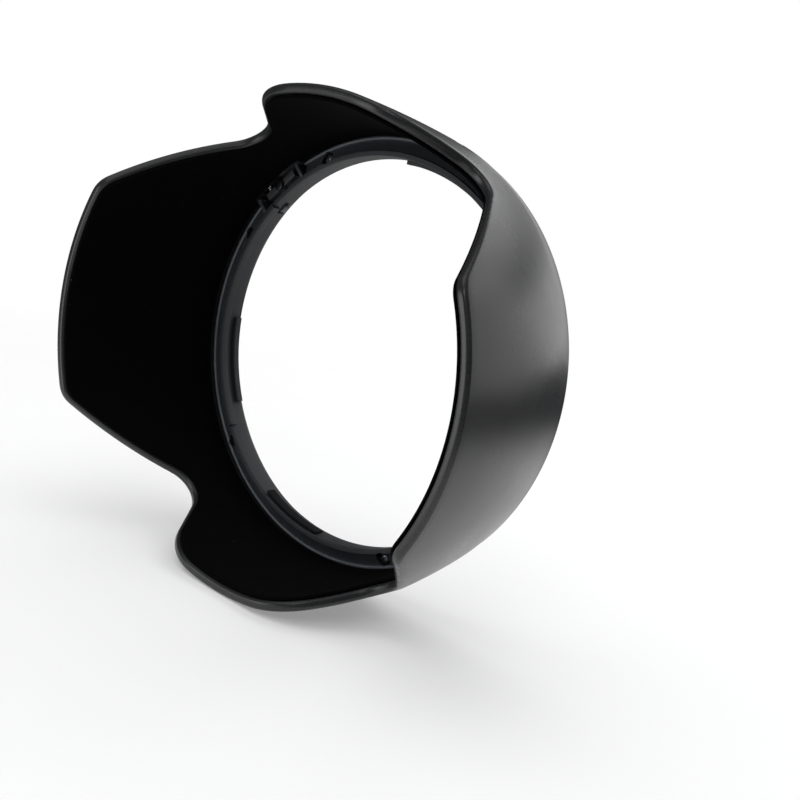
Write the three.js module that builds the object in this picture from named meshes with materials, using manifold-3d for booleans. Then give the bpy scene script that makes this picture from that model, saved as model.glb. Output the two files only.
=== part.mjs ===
// Petal-shaped lens hood with a push-button bayonet lock, in millimetres.
// The hood's axis is Y: the petals open towards -Y and the lens comes in from +Y, with +Z up.
// The long petals are at +X and -X, the short ones at +Z and -Z.
// The origin is on the axis, in the plane where the outer edge of the ledge meets the petals.

import * as THREE from "three";
import { mergeVertices } from "three/addons/utils/BufferGeometryUtils.js";
import Module from "manifold-3d";

const wasm = await Module();
wasm.setup();

// ---- Driving dimensions: the lens and the bayonet ring --------------------------------------
const lensRadius = 39.3;
const boreClearance = 1.4;
const ledgeWidth = 4.4;
const ledgeRise = 1.6;
const lipRound = 0.5;
const lugHeight = 0.85;
const lugThickness = 1.5;
const lugSpan = 28;
const lugAngles = [-60, 60, 180];
const railHeight = 0.6;
const railSpan = [5, 82];
const railOverhang = 0.5;
const bridgeWall = 0.8;

// ---- Driving dimensions: the petal shell ----------------------------------------------------
const wall = 2;
const longSpread = 5.05;
const shortSpread = 2.15;
const collarDepth = 4.6;
const collarTaper = 0.9;
const rearRound = 1;
const flangeThickness = 1.3;
const flangeInset = 1;
const longPetal = 38;
const shortPetal = 28.4;

// The rim, unrolled: angles are counted from the middle of a long petal, and the two slanted
// sides of a notch would meet at notchAngle, notchMeet forward of the ledge, were they sharp.
const longCornerAngle = 26.3;
const notchAngle = 54;
const notchMeet = 9.9;
const shoulderAngle = 71.5;
const cornerRound = 5;
const notchRound = 6.5;
const shoulderRound = 15;

// ---- Driving dimensions: lining, lock and fasteners -----------------------------------------
const liningThickness = 0.5;
const liningMargin = 0.5;
const liningStart = 1.2;
const latchAngle = 137;
const latchWindow = 15;
const leverLength = 9.2;
const leverThickness = 1.6;
const leverDepth = 3.8;
const leverRearGap = 0.4;
const clawWidth = 2;
const clawDepth = 1.7;
const clawReach = 0.55;
const clawOverlap = 0.2;
const leverInset = 0.5;
const hubWall = 0.35;
const pinRadius = 0.7;
const pinHeadWidth = 0.45;
const buttonWidth = 4.8;
const buttonDepth = 4.2;
const buttonStand = 0.6;
const buttonTravel = 0.65;
const buttonFlange = 0.6;
const buttonFootHeight = 0.45;
const bossHeight = 1;
const bossLength = 18;
const bossDepth = 7.4;
const springRadius = 0.95;
const springWire = 0.18;
const springTurns = 4;
const nubRadius = 0.52;
const nubHeight = 0.6;
const screwHeadRadius = 1.25;
const screwHeadThickness = 0.8;
const screwShankRadius = 0.75;
const screwTipInset = 0.3;
const screwAngles = [18.5, 86, 157.3];
const padSpan = 24;
const padThickness = 0.45;
const padDepth = 2.2;
const markRadius = 1.1;
const markDepth = 0.5;

// ---- Clearances -----------------------------------------------------------------------------
const seatGap = 0.25;
const runningGap = 0.15;
const pinGap = 0.06;

// ---- Worked out from the above --------------------------------------------------------------
const boreRadius = lensRadius + boreClearance;
const ringRadius = boreRadius + ledgeWidth;
const baseInner = ringRadius + seatGap;
const baseOuter = baseInner + wall;
const flangeFront = collarDepth - flangeThickness;
const ringRear = flangeFront - seatGap;
const flangeInner = boreRadius + flangeInset;
const bridgeRadius = boreRadius + bridgeWall;
const screwCircle = boreRadius + ledgeWidth / 2;
const leverTop = ringRadius - leverInset;
const pivotRadius = leverTop - leverThickness / 2;
const hubRadius = leverThickness / 2 + hubWall;
const leverRear = ringRear - leverRearGap;
const leverMiddle = leverRear - leverDepth / 2;
const leverSide = leverLength / 2;
const buttonSide = leverSide - 0.4;
const clawSide = -leverSide + clawWidth / 2;
const clawSwing = ((pivotRadius - boreRadius + clawReach) * buttonTravel) / buttonSide;
const buttonFoot = leverTop + runningGap;
const flangeTop = buttonFoot + buttonFootHeight + buttonFlange;
const bossRadius = baseOuter + bossHeight;
const buttonTop = bossRadius + buttonStand;
const springFoot = leverTop + runningGap;
const springHead = bossRadius - 1.3;

const facets = 96;
const facetSpan = 360 / facets;
const petalRows = 4;
const spare = 2;
const cutInner = baseInner - 2 * spare;
const cutOuter = baseOuter + longSpread + spare;
const cutRows = 4;

// ---- Finishes -------------------------------------------------------------------------------
const shellPlastic = { color: 0x2b2c2f, roughness: 0.42, metalness: 0 };
const ringPlastic = { color: 0x24272b, roughness: 0.5, metalness: 0 };
const lockPlastic = { color: 0x33363a, roughness: 0.48, metalness: 0 };
const flock = { color: 0x08080a, roughness: 1, metalness: 0 };
const felt = { color: 0x121214, roughness: 0.95, metalness: 0 };
const steel = { color: 0xb4b6b9, roughness: 0.3, metalness: 1 };
const blackSteel = { color: 0x25272a, roughness: 0.4, metalness: 0.8 };
const whitePaint = { color: 0xd9d9d6, roughness: 0.5, metalness: 0 };

// ---- Solids ---------------------------------------------------------------------------------

// Turns a closed geometry into a manifold solid, dropping the flat triangles a lathe leaves
// where its profile touches the axis.
function toSolid(geometry) {
  geometry.deleteAttribute("normal");
  geometry.deleteAttribute("uv");
  const merged = mergeVertices(geometry, 1e-4);
  const index = merged.index.array;
  const triangles = [];
  for (let i = 0; i < index.length; i += 3) {
    const [a, b, c] = [index[i], index[i + 1], index[i + 2]];
    if (a !== b && b !== c && c !== a) triangles.push(a, b, c);
  }
  const mesh = new wasm.Mesh({
    numProp: 3,
    vertProperties: new Float32Array(merged.attributes.position.array),
    triVerts: new Uint32Array(triangles),
  });
  return new wasm.Manifold(mesh);
}

function toGeometry(solid) {
  const mesh = solid.getMesh();
  const geometry = new THREE.BufferGeometry();
  geometry.setAttribute("position", new THREE.BufferAttribute(mesh.vertProperties, 3));
  geometry.setIndex(new THREE.BufferAttribute(mesh.triVerts, 1));
  const faceted = geometry.toNonIndexed();
  faceted.computeVertexNormals();
  return faceted;
}

const hood = new THREE.Group();

function addPart(name, solid, finish) {
  const mesh = new THREE.Mesh(toGeometry(solid), new THREE.MeshStandardMaterial(finish));
  mesh.name = name;
  hood.add(mesh);
}

// Revolves a closed profile of (radius, y) round the hood's axis.
function revolve(path) {
  const points = path.getPoints(2);
  points.push(points[0].clone());
  return toSolid(new THREE.LatheGeometry(points, facets));
}

// How far the wall has moved outwards at a place on a petal. It spreads fast where it leaves
// the ledge and runs nearly straight at the rim, and spreads more on the long petals.
function spread(angle, y) {
  const reach = THREE.MathUtils.clamp(-y / longPetal, 0, 1);
  const mean = (longSpread + shortSpread) / 2;
  const swing = (longSpread - shortSpread) / 2;
  return (mean + swing * Math.cos(2 * angle)) * (1 - (1 - reach) ** 2);
}

// Revolves a closed profile and then spreads the stretch in front of the ledge.
function revolvePetals(path) {
  const points = path.getPoints(2);
  points.push(points[0].clone());
  const geometry = new THREE.LatheGeometry(points, facets);
  const place = geometry.attributes.position;
  for (let i = 0; i < place.count; i++) {
    const angle = Math.atan2(place.getZ(i), place.getX(i));
    const radius = Math.hypot(place.getX(i), place.getZ(i)) + spread(angle, place.getY(i));
    place.setX(i, radius * Math.cos(angle));
    place.setZ(i, radius * Math.sin(angle));
  }
  return toSolid(geometry);
}

// The rows of a petal's wall between the front and where it starts, at one radius.
function petalSide(radius, front, start) {
  const rows = [front];
  for (let i = petalRows - 1; i > 0; i--) rows.push((-longPetal * i) / petalRows);
  rows.push(start);
  return rows.map((y) => new THREE.Vector2(radius, y));
}

// A box bent round the hood's axis: one column per angle, from `front` to each column's rear,
// in one or more rows from the inner radius to the outer one.
function bentBox(angles, front, rears, innerRadius, outerRadius, rows = 1) {
  const columns = angles.length - 1;
  const geometry = new THREE.BoxGeometry(1, 1, 1, columns, 1, rows);
  const place = geometry.attributes.position;
  for (let i = 0; i < place.count; i++) {
    const column = Math.round((place.getX(i) + 0.5) * columns);
    const angle = THREE.MathUtils.degToRad(angles[column]);
    const radius = THREE.MathUtils.lerp(innerRadius, outerRadius, 0.5 - place.getZ(i));
    const y = place.getY(i) > 0 ? rears[column] : front;
    place.setXYZ(i, radius * Math.cos(angle), y, radius * Math.sin(angle));
  }
  return toSolid(geometry);
}

// A stretch of ring between two angles, two radii and two depths.
function ringSector(from, to, front, rear, innerRadius, outerRadius) {
  const columns = Math.ceil((to - from) / facetSpan);
  const angles = Array.from({ length: columns + 1 }, (_, i) => from + ((to - from) * i) / columns);
  return bentBox(angles, front, angles.map(() => rear), innerRadius, outerRadius);
}

// Turns a shape drawn at the top of the hood, with Z outwards, to an angle round the axis.
function turnTo(geometry, angle) {
  return geometry.rotateY(THREE.MathUtils.degToRad(90 - angle));
}

// A block in the lock's own frame: X along the ring, Y along the axis, Z outwards.
function latchBlock([x0, x1], [y0, y1], [z0, z1]) {
  const geometry = new THREE.BoxGeometry(x1 - x0, y1 - y0, z1 - z0);
  geometry.translate((x0 + x1) / 2, (y0 + y1) / 2, (z0 + z1) / 2);
  return toSolid(turnTo(geometry, latchAngle));
}

// A round bar or hole along Y, at a radius and an angle round the axis.
function axialRod(radius, y0, y1, atRadius, angle) {
  const geometry = new THREE.CylinderGeometry(radius, radius, y1 - y0, 20);
  geometry.translate(0, (y0 + y1) / 2, atRadius);
  return toSolid(turnTo(geometry, angle));
}

// A round bar or hole that points outwards, at a place in a frame turned to an angle.
function radialRod(radius, z0, z1, x, y, angle) {
  const geometry = new THREE.CylinderGeometry(radius, radius, z1 - z0, 20);
  geometry.rotateX(Math.PI / 2);
  geometry.translate(x, y, (z0 + z1) / 2);
  return toSolid(turnTo(geometry, angle));
}

// ---- Petal rim ------------------------------------------------------------------------------

const plotRadius = baseOuter + shortSpread;
const arcPerDegree = (plotRadius * Math.PI) / 180;

// Adds a straight run to a corner and rounds the corner off with an arc.
function roundCorner(path, from, corner, to, radius) {
  const back = from.clone().sub(corner).normalize();
  const ahead = to.clone().sub(corner).normalize();
  const half = Math.acos(back.dot(ahead)) / 2;
  const start = corner.clone().addScaledVector(back, radius / Math.tan(half));
  const end = corner.clone().addScaledVector(ahead, radius / Math.tan(half));
  const inward = back.clone().add(ahead).normalize();
  const centre = corner.clone().addScaledVector(inward, radius / Math.sin(half));
  const startAngle = Math.atan2(start.y - centre.y, start.x - centre.x);
  const endAngle = Math.atan2(end.y - centre.y, end.x - centre.x);
  const clockwise = back.cross(ahead) > 0;
  path.lineTo(start.x, start.y);
  path.absarc(centre.x, centre.y, radius, startAngle, endAngle, clockwise);
}

// A quarter of the rim, from the middle of a long petal to the middle of a short one, as
// (arc length, y) moved back into the material by a margin.
function rimQuarter(margin) {
  const middle = new THREE.Vector2(0, -longPetal);
  const corner = new THREE.Vector2(longCornerAngle * arcPerDegree, -longPetal);
  const notch = new THREE.Vector2(notchAngle * arcPerDegree, -notchMeet);
  const shoulder = new THREE.Vector2(shoulderAngle * arcPerDegree, -shortPetal);
  const crest = new THREE.Vector2(90 * arcPerDegree, -shortPetal);
  const path = new THREE.Path();
  path.moveTo(middle.x, middle.y);
  roundCorner(path, middle, corner, notch, cornerRound);
  roundCorner(path, corner, notch, shoulder, notchRound);
  roundCorner(path, notch, shoulder, crest, shoulderRound);
  path.lineTo(crest.x, crest.y);
  const apart = (point, i, all) => i === 0 || point.distanceTo(all[i - 1]) > 0.01;
  const points = path.getPoints(5).filter(apart);
  return points.map((point, i) => {
    const before = points[Math.max(i - 1, 0)];
    const after = points[Math.min(i + 1, points.length - 1)];
    const along = after.clone().sub(before).normalize();
    const atEnd = i === 0 || i === points.length - 1;
    const normal = atEnd ? new THREE.Vector2(0, 1) : new THREE.Vector2(-along.y, along.x);
    return point.clone().addScaledVector(normal, margin);
  });
}

// The rim quarter as (angle, y) columns, no further apart than the facets of the shell.
function rimColumns(margin) {
  const corners = rimQuarter(margin).map((point) => [point.x / arcPerDegree, point.y]);
  const columns = [corners[0]];
  for (let i = 1; i < corners.length; i++) {
    const [fromAngle, fromY] = corners[i - 1];
    const [toAngle, toY] = corners[i];
    const steps = Math.max(1, Math.ceil((toAngle - fromAngle) / facetSpan));
    for (let step = 1; step <= steps; step++) {
      const share = step / steps;
      columns.push([fromAngle + (toAngle - fromAngle) * share, fromY + (toY - fromY) * share]);
    }
  }
  return columns;
}

// Everything in front of the rim: two half rings that overlap in the middle of the long petals.
function rimCutter(margin) {
  const front = -longPetal - 2 * spare;
  const rise = rimColumns(margin);
  const fall = rise.slice(0, -1).reverse().map(([angle, y]) => [180 - angle, y]);
  const half = [[-spare, rise[0][1]], ...rise, ...fall, [180 + spare, rise[0][1]]];
  const rears = half.map(([, y]) => y);
  const halfRing = (turn) => {
    const angles = half.map(([angle]) => angle + turn);
    return bentBox(angles, front, rears, cutInner, cutOuter, cutRows);
  };
  return halfRing(0).add(halfRing(180));
}

// ---- Petal shell ----------------------------------------------------------------------------

function shellBody() {
  const front = -longPetal - spare;
  const rearRadius = baseOuter - collarTaper;
  const profile = new THREE.Path(petalSide(baseOuter, front, 0));
  profile.lineTo(rearRadius, collarDepth - rearRound);
  profile.absarc(rearRadius - rearRound, collarDepth - rearRound, rearRound, 0, Math.PI / 2);
  profile.lineTo(flangeInner, collarDepth);
  profile.lineTo(flangeInner, flangeFront);
  profile.lineTo(baseInner, flangeFront);
  for (const point of petalSide(baseInner, front, 0).reverse()) profile.lineTo(point.x, point.y);
  return revolvePetals(profile);
}

// The raised pad round the button, its top following the hood's curve.
function latchBoss() {
  const reach = THREE.MathUtils.radToDeg(bossLength / 2 / bossRadius);
  const from = latchAngle - reach;
  const to = latchAngle + reach;
  const front = leverMiddle - bossDepth / 2;
  return ringSector(from, to, front, front + bossDepth, baseInner + wall / 2, bossRadius);
}

// The button's window, the room for its flange, and the room for the lever and its spring.
function latchCuts() {
  const flangeSpan = spanAround(buttonSide, buttonWidth / 2 + buttonFlange + runningGap);
  const flangeRows = [leverMiddle - buttonDepth / 2 - buttonFlange - runningGap, flangeFront];
  const windowSpan = spanAround(buttonSide, buttonWidth / 2 + runningGap);
  const windowRows = spanAround(leverMiddle, buttonDepth / 2 + runningGap);
  const leverSpan = spanAround(clawSide, clawWidth / 2 + 3 * runningGap);
  const leverRows = [leverMiddle - leverDepth / 2 - runningGap, flangeFront];
  const inside = baseInner - spare;
  const pocket = springRadius + springWire + runningGap;
  return latchBlock(flangeSpan, flangeRows, [inside, flangeTop + runningGap])
    .add(latchBlock(windowSpan, windowRows, [inside, buttonTop + spare]))
    .add(latchBlock(leverSpan, leverRows, [inside, leverTop + 2 * buttonTravel]))
    .add(radialRod(pocket, inside, springHead + runningGap, clawSide, leverMiddle, latchAngle));
}

function spanAround(middle, half) {
  return [middle - half, middle + half];
}

function petalShell() {
  let shell = shellBody().subtract(rimCutter(0)).add(latchBoss()).subtract(latchCuts());
  const holeRows = [flangeFront - spare, collarDepth + spare];
  shell = shell.subtract(axialRod(pinRadius + seatGap, ...holeRows, pivotRadius, latchAngle));
  for (const angle of ringScrewAngles()) {
    shell = shell.subtract(axialRod(screwShankRadius + seatGap, ...holeRows, screwCircle, angle));
  }
  for (const mark of indexMarks) {
    shell = shell.subtract(indexDisc(mark, markRadius + seatGap, markDepth + seatGap, spare));
  }
  return shell;
}

// ---- Bayonet ring ---------------------------------------------------------------------------

function ringBody() {
  const lip = ringRadius - lipRound;
  const profile = new THREE.Path();
  profile.moveTo(ringRadius, ringRear);
  profile.lineTo(boreRadius, ringRear);
  profile.lineTo(boreRadius, -ledgeRise + 0.3);
  profile.absarc(boreRadius + 0.3, -ledgeRise + 0.3, 0.3, Math.PI, 1.5 * Math.PI);
  profile.lineTo(boreRadius + 1.1, -ledgeRise);
  profile.lineTo(boreRadius + 1.3, -ledgeRise + 0.45);
  profile.lineTo(lip - lipRound, lipRound * 0.4);
  profile.absarc(lip, lipRound * 0.4, lipRound, Math.PI, 2 * Math.PI);
  return revolve(profile);
}

function bayonetRing() {
  let ring = ringBody();
  for (const offset of lugAngles) {
    const middle = latchAngle + offset;
    const [from, to] = spanAround(middle, lugSpan / 2);
    const inner = boreRadius - lugHeight;
    ring = ring.add(ringSector(from, to, ringRear - lugThickness, ringRear, inner, boreRadius + 0.4));
  }
  const railStart = latchAngle + railSpan[0];
  const railEnd = latchAngle + railSpan[1];
  const railInner = boreRadius - railHeight;
  ring = ring.add(
    ringSector(railStart, railEnd, -ledgeRise - railOverhang, 0, railInner, boreRadius + 0.5),
  );
  const half = latchWindow / 2;
  const past = [-ledgeRise - spare, ringRear + spare];
  ring = ring.subtract(latchBlock([-half, half], past, [bridgeRadius, ringRadius + spare]));
  const postRows = [-ledgeRise - 0.3, ringRear];
  for (const side of [-1, 1]) {
    const ends = [side * (half - 1.5), side * (half - 0.6)].sort((a, b) => a - b);
    ring = ring.add(latchBlock(ends, postRows, [boreRadius + 0.3, ringRadius - 0.7]));
  }
  const slotSpan = spanAround(clawSide, clawWidth / 2 + clawSwing + runningGap);
  const slotRows = [leverRear - clawDepth - runningGap * 2, ringRear + spare];
  ring = ring.subtract(latchBlock(slotSpan, slotRows, [boreRadius - spare, bridgeRadius + spare]));
  for (const angle of ringScrewAngles()) {
    ring = ring.subtract(axialRod(screwShankRadius + seatGap, ...past, screwCircle, angle));
    const recess = [-ledgeRise - spare, screwHeadRear + seatGap];
    ring = ring.subtract(axialRod(screwHeadRadius + seatGap, ...recess, screwCircle, angle));
  }
  return ring;
}

// ---- Flocked lining -------------------------------------------------------------------------

function liningBody() {
  const front = -longPetal - spare;
  const outer = baseInner - seatGap;
  const inner = outer - liningThickness;
  const outside = petalSide(outer, front, -liningStart);
  const inside = petalSide(inner, front, -liningStart).reverse();
  return revolvePetals(new THREE.Path([...outside, ...inside]));
}

// Four die-cut pieces, one for each petal, with their seams at the bottoms of the notches.
function addLining() {
  const half = latchWindow / 2 + seatGap;
  const cutOut = latchBlock(
    [-half, half],
    [-ledgeRise - 3, spare],
    [baseInner - 2 * spare, baseOuter],
  );
  const lining = liningBody().subtract(rimCutter(liningMargin)).subtract(cutOut);
  const seam = seatGap / arcPerDegree;
  const pieces = {
    lining_right: [-notchAngle, notchAngle],
    lining_top: [notchAngle, 180 - notchAngle],
    lining_left: [180 - notchAngle, 180 + notchAngle],
    lining_bottom: [180 + notchAngle, 360 - notchAngle],
  };
  for (const [name, [from, to]] of Object.entries(pieces)) {
    const sector = ringSector(from + seam, to - seam, -longPetal, 0, cutInner, cutOuter);
    addPart(name, lining.intersect(sector), flock);
  }
}

// ---- Lock -----------------------------------------------------------------------------------

// A seesaw lever: the button presses one end inwards and the claw at the other end lifts.
function lockLever() {
  const [front, rear] = spanAround(leverMiddle, leverDepth / 2);
  const barRows = [leverTop - leverThickness, leverTop];
  const bar = latchBlock([-leverSide, leverSide], [front, rear], barRows);
  const hub = axialRod(hubRadius, front, rear, pivotRadius, latchAngle);
  const clawSpan = [-leverSide, -leverSide + clawWidth];
  const clawRows = [boreRadius - clawReach, leverTop - clawOverlap];
  const claw = latchBlock(clawSpan, [rear - clawDepth, rear], clawRows);
  const nubRows = spanAround(leverTop, nubHeight);
  const nub = radialRod(nubRadius, ...nubRows, clawSide, leverMiddle, latchAngle);
  const hole = axialRod(pinRadius + pinGap, front - spare, rear + spare, pivotRadius, latchAngle);
  return bar.add(hub).add(claw).add(nub).subtract(hole);
}

function lockButton() {
  const corner = 0.9;
  const bevel = 0.3;
  const halfWidth = buttonWidth / 2 - bevel;
  const halfDepth = buttonDepth / 2 - bevel;
  const outline = roundedRectangle(halfWidth, halfDepth, corner - bevel);
  const height = buttonTop - buttonFoot - 0.5;
  const body = new THREE.ExtrudeGeometry(outline, {
    depth: height - 2 * bevel,
    bevelThickness: bevel,
    bevelSize: bevel,
    bevelSegments: 2,
    curveSegments: 4,
  });
  body.translate(buttonSide, leverMiddle, buttonFoot + 0.5 + bevel);
  let button = toSolid(turnTo(body, latchAngle));
  const flangeSpan = spanAround(buttonSide, buttonWidth / 2 + buttonFlange);
  const flangeRows = spanAround(leverMiddle, buttonDepth / 2 + buttonFlange);
  const flangeRear = Math.min(flangeRows[1], flangeFront - runningGap);
  button = button.add(
    latchBlock(flangeSpan, [flangeRows[0], flangeRear], [flangeTop - buttonFlange, flangeTop]),
  );
  const foot = spanAround(buttonSide, 0.4);
  button = button.add(latchBlock(foot, spanAround(leverMiddle, 1.2), [buttonFoot, flangeTop - 0.1]));
  for (const ridge of [-1, 0, 1]) {
    const groove = spanAround(buttonSide + (ridge * buttonWidth) / 5, 0.18);
    const rows = spanAround(leverMiddle, halfDepth - 0.3);
    button = button.subtract(latchBlock(groove, rows, [buttonTop - 0.3, buttonTop + spare]));
  }
  return button;
}

function roundedRectangle(halfWidth, halfDepth, radius) {
  const shape = new THREE.Shape();
  const x = halfWidth - radius;
  const y = halfDepth - radius;
  shape.moveTo(-x, -halfDepth);
  shape.absarc(x, -y, radius, -Math.PI / 2, 0);
  shape.absarc(x, y, radius, 0, Math.PI / 2);
  shape.absarc(-x, y, radius, Math.PI / 2, Math.PI);
  shape.absarc(-x, -y, radius, Math.PI, 1.5 * Math.PI);
  return shape;
}

// A headed pin that holds the lever to the rear flange.
function pivotPin() {
  const front = leverMiddle - leverDepth / 2 - runningGap;
  const shaft = axialRod(pinRadius, front - 0.3, collarDepth - 0.3, pivotRadius, latchAngle);
  const head = axialRod(pinRadius + pinHeadWidth, front - 0.6, front, pivotRadius, latchAngle);
  return shaft.add(head);
}

class Helix extends THREE.Curve {
  constructor(radius, length, turns) {
    super();
    this.radius = radius;
    this.length = length;
    this.turns = turns;
  }

  getPoint(t, target = new THREE.Vector3()) {
    const angle = t * this.turns * 2 * Math.PI;
    return target.set(this.radius * Math.cos(angle), this.radius * Math.sin(angle), t * this.length);
  }
}

function latchSpring() {
  const length = springHead - springFoot - 2 * springWire;
  const section = new THREE.Shape();
  section.absarc(0, 0, springWire, 0, 2 * Math.PI);
  const wire = new THREE.ExtrudeGeometry(section, {
    steps: springTurns * 14,
    curveSegments: 3,
    extrudePath: new Helix(springRadius, length, springTurns),
  });
  wire.translate(clawSide, leverMiddle, springFoot + springWire);
  return toSolid(turnTo(wire, latchAngle));
}

// ---- Fasteners, pads and marks --------------------------------------------------------------

const screwHeadFront = -0.35;
const screwHeadRear = screwHeadFront + screwHeadThickness;

function ringScrewAngles() {
  return screwAngles.flatMap((offset) => [latchAngle - offset, latchAngle + offset]);
}

function ringScrew(angle) {
  const head = axialRod(screwHeadRadius, screwHeadFront, screwHeadRear, screwCircle, angle);
  const shankRows = [screwHeadFront + 0.1, collarDepth - screwTipInset];
  const shank = axialRod(screwShankRadius, ...shankRows, screwCircle, angle);
  let screw = head.add(shank);
  for (const turn of [0, Math.PI / 2]) {
    const slot = new THREE.BoxGeometry(screwHeadRadius * 1.3, 1, 0.35);
    slot.rotateY(turn);
    slot.translate(0, screwHeadFront - 0.1, screwCircle);
    screw = screw.subtract(toSolid(turnTo(slot, angle)));
  }
  return screw;
}

// Felt strips in the bore, on the far side from the lock, that keep the hood from rattling.
function feltPad(angle) {
  const [from, to] = spanAround(angle, padSpan / 2);
  const outer = boreRadius - seatGap;
  const front = -ledgeRise + 0.5;
  return ringSector(from, to, front, front + padDepth, outer - padThickness, outer);
}

// Small inlaid discs on the outside: one to line up with the lens, one to turn to.
const indexMarks = [
  { name: "align_mark", angle: 90 },
  { name: "lock_mark", angle: 72 },
];
const markPlace = -4;

function indexDisc(mark, radius, depth, proud) {
  const surface = baseOuter + spread(THREE.MathUtils.degToRad(mark.angle), markPlace);
  return radialRod(radius, surface - depth, surface + proud, 0, markPlace, mark.angle);
}

// ---- Assembly -------------------------------------------------------------------------------

addPart("petal_shell", petalShell(), shellPlastic);
addPart("bayonet_ring", bayonetRing(), ringPlastic);
addLining();
addPart("lock_button", lockButton(), lockPlastic);
addPart("lock_lever", lockLever(), lockPlastic);
addPart("pivot_pin", pivotPin(), steel);
addPart("latch_spring", latchSpring(), steel);
ringScrewAngles().forEach((angle, i) => addPart(`ring_screw_${i + 1}`, ringScrew(angle), blackSteel));
addPart("felt_pad_1", feltPad(latchAngle + 120), felt);
addPart("felt_pad_2", feltPad(latchAngle - 120), felt);
for (const mark of indexMarks) {
  addPart(mark.name, indexDisc(mark, markRadius, markDepth, -0.05), whitePaint);
}

export default hood;
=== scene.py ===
import math

import bmesh
import bpy
import numpy as np
from bpy.props import FloatProperty, FloatVectorProperty, IntProperty, PointerProperty
from mathutils import Matrix, Vector


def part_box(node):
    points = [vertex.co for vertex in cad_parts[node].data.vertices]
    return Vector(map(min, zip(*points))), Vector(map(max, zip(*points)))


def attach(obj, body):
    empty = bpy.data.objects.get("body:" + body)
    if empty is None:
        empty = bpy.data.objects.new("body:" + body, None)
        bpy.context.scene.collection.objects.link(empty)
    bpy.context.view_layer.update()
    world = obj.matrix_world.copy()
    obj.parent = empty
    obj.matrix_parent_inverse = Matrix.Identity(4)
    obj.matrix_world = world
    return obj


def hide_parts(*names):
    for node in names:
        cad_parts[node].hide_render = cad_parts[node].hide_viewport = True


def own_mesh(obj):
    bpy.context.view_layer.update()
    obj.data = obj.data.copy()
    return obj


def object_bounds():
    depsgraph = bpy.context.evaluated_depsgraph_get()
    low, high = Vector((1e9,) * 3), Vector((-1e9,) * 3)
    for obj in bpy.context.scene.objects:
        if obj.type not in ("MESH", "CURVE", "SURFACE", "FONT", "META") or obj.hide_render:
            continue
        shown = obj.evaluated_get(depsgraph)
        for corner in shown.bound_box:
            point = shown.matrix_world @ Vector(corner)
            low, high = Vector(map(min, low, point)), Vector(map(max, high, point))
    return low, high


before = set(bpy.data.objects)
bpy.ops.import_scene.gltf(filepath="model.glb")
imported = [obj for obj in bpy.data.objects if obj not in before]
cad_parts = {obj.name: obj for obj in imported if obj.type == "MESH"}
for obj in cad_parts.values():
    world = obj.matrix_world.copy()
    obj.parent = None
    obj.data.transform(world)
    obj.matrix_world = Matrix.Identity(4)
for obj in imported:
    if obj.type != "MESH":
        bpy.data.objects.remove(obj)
CAD_BOX = [list(corner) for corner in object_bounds()]

bl_info = {
    "name": "Petal Lens Hood",
    "version": (1, 0, 0),
    "blender": (4, 5, 0),
    "location": "3D Viewport > Sidebar > Hood",
    "description": "Builds the finished surfaces of a petal-shaped lens hood round its packed model",
    "category": "Add Mesh",
}

MM = 0.001

# The shell, the ring and the lock as packed; the finished surfaces take their main sizes from them.
SHELL_LOW, SHELL_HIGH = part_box("petal_shell")
RING_LOW, RING_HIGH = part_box("bayonet_ring")
LEVER_LOW, LEVER_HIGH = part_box("lock_lever")
LOCK_ANGLE = math.radians(137)
LOCK_TURN = Matrix.Rotation(math.pi / 2 - LOCK_ANGLE, 4, "Y")
LUG_OFFSETS = (-60, 60, 180)
SCREW_OFFSETS = (18.5, 86, 157.3)
MARKS = {"align_mark": 90, "lock_mark": 72}
MARK_Y = -4 * MM
SCREW_INSET = 2.2 * MM  # from the bore to the middle of a screw
RUNNING_GAP = 0.15 * MM  # round parts that move
SPARE = 2 * MM  # how far a cutting shape reaches past what it cuts
LEVER_INSET = 0.5 * MM  # from the ring's outer face in to the lever's top
FOOT_HEIGHT = 0.45 * MM  # of the button's foot, under its skirt
BUTTON_STAND = 0.6 * MM  # the button's top over the pad
BUTTON_END = 0.4 * MM  # from the lever's end to the middle of the button
SPRING_ROOF = 1.3 * MM  # from the pad's top in to the spring's end

LEVER_SWING = math.radians(9)
HOOD_MIDDLE = Vector((0, -17 * MM, 0))  # what the lights face

# Each light's name, the setting for its brightness, the direction and the distance that it stands at
# from the middle of the hood, and its width and height.
SOFTBOXES = (
    ("rear_softbox", "rear_light", (0.05, 0.78, 0.66), 0.50, (0.46, 0.26)),
    ("side_softbox", "side_light", (0.60, 0.76, 0.24), 0.50, (0.34, 0.26)),
    ("back_softbox", "back_light", (-0.10, 0.97, 0.17), 0.50, (0.42, 0.15)),
    ("front_softbox", "front_light", (-0.39, -0.92, -0.02), 0.24, (0.16, 0.14)),
    ("key_softbox", "key_light", (0.35, -0.70, 0.62), 0.60, (0.22, 0.22)),
    ("top_softbox", "top_light", (-0.20, -0.25, 0.95), 0.60, (0.50, 0.50)),
    ("fill", "fill_light", (0, 0, 1), 1.1, (2.4, 2.4)),
)


# ---- Properties -----------------------------------------------------------------------------


def length(name, description, size):
    """A length property with its default in millimetres."""
    return FloatProperty(
        name=name, description=description, default=size * MM, min=0, unit="LENGTH", precision=4
    )


def degrees(name, description, size):
    """An angle property with its default in degrees."""
    return FloatProperty(
        name=name, description=description, default=math.radians(size), subtype="ANGLE"
    )


def count(name, description, number):
    return IntProperty(name=name, description=description, default=number, min=1)


def colour(name, description, red, green, blue):
    return FloatVectorProperty(
        name=name, description=description, default=(red, green, blue), min=0, max=1, subtype="COLOR"
    )


def share(name, description, number):
    return FloatProperty(name=name, description=description, default=number, min=0, subtype="FACTOR")


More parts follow.
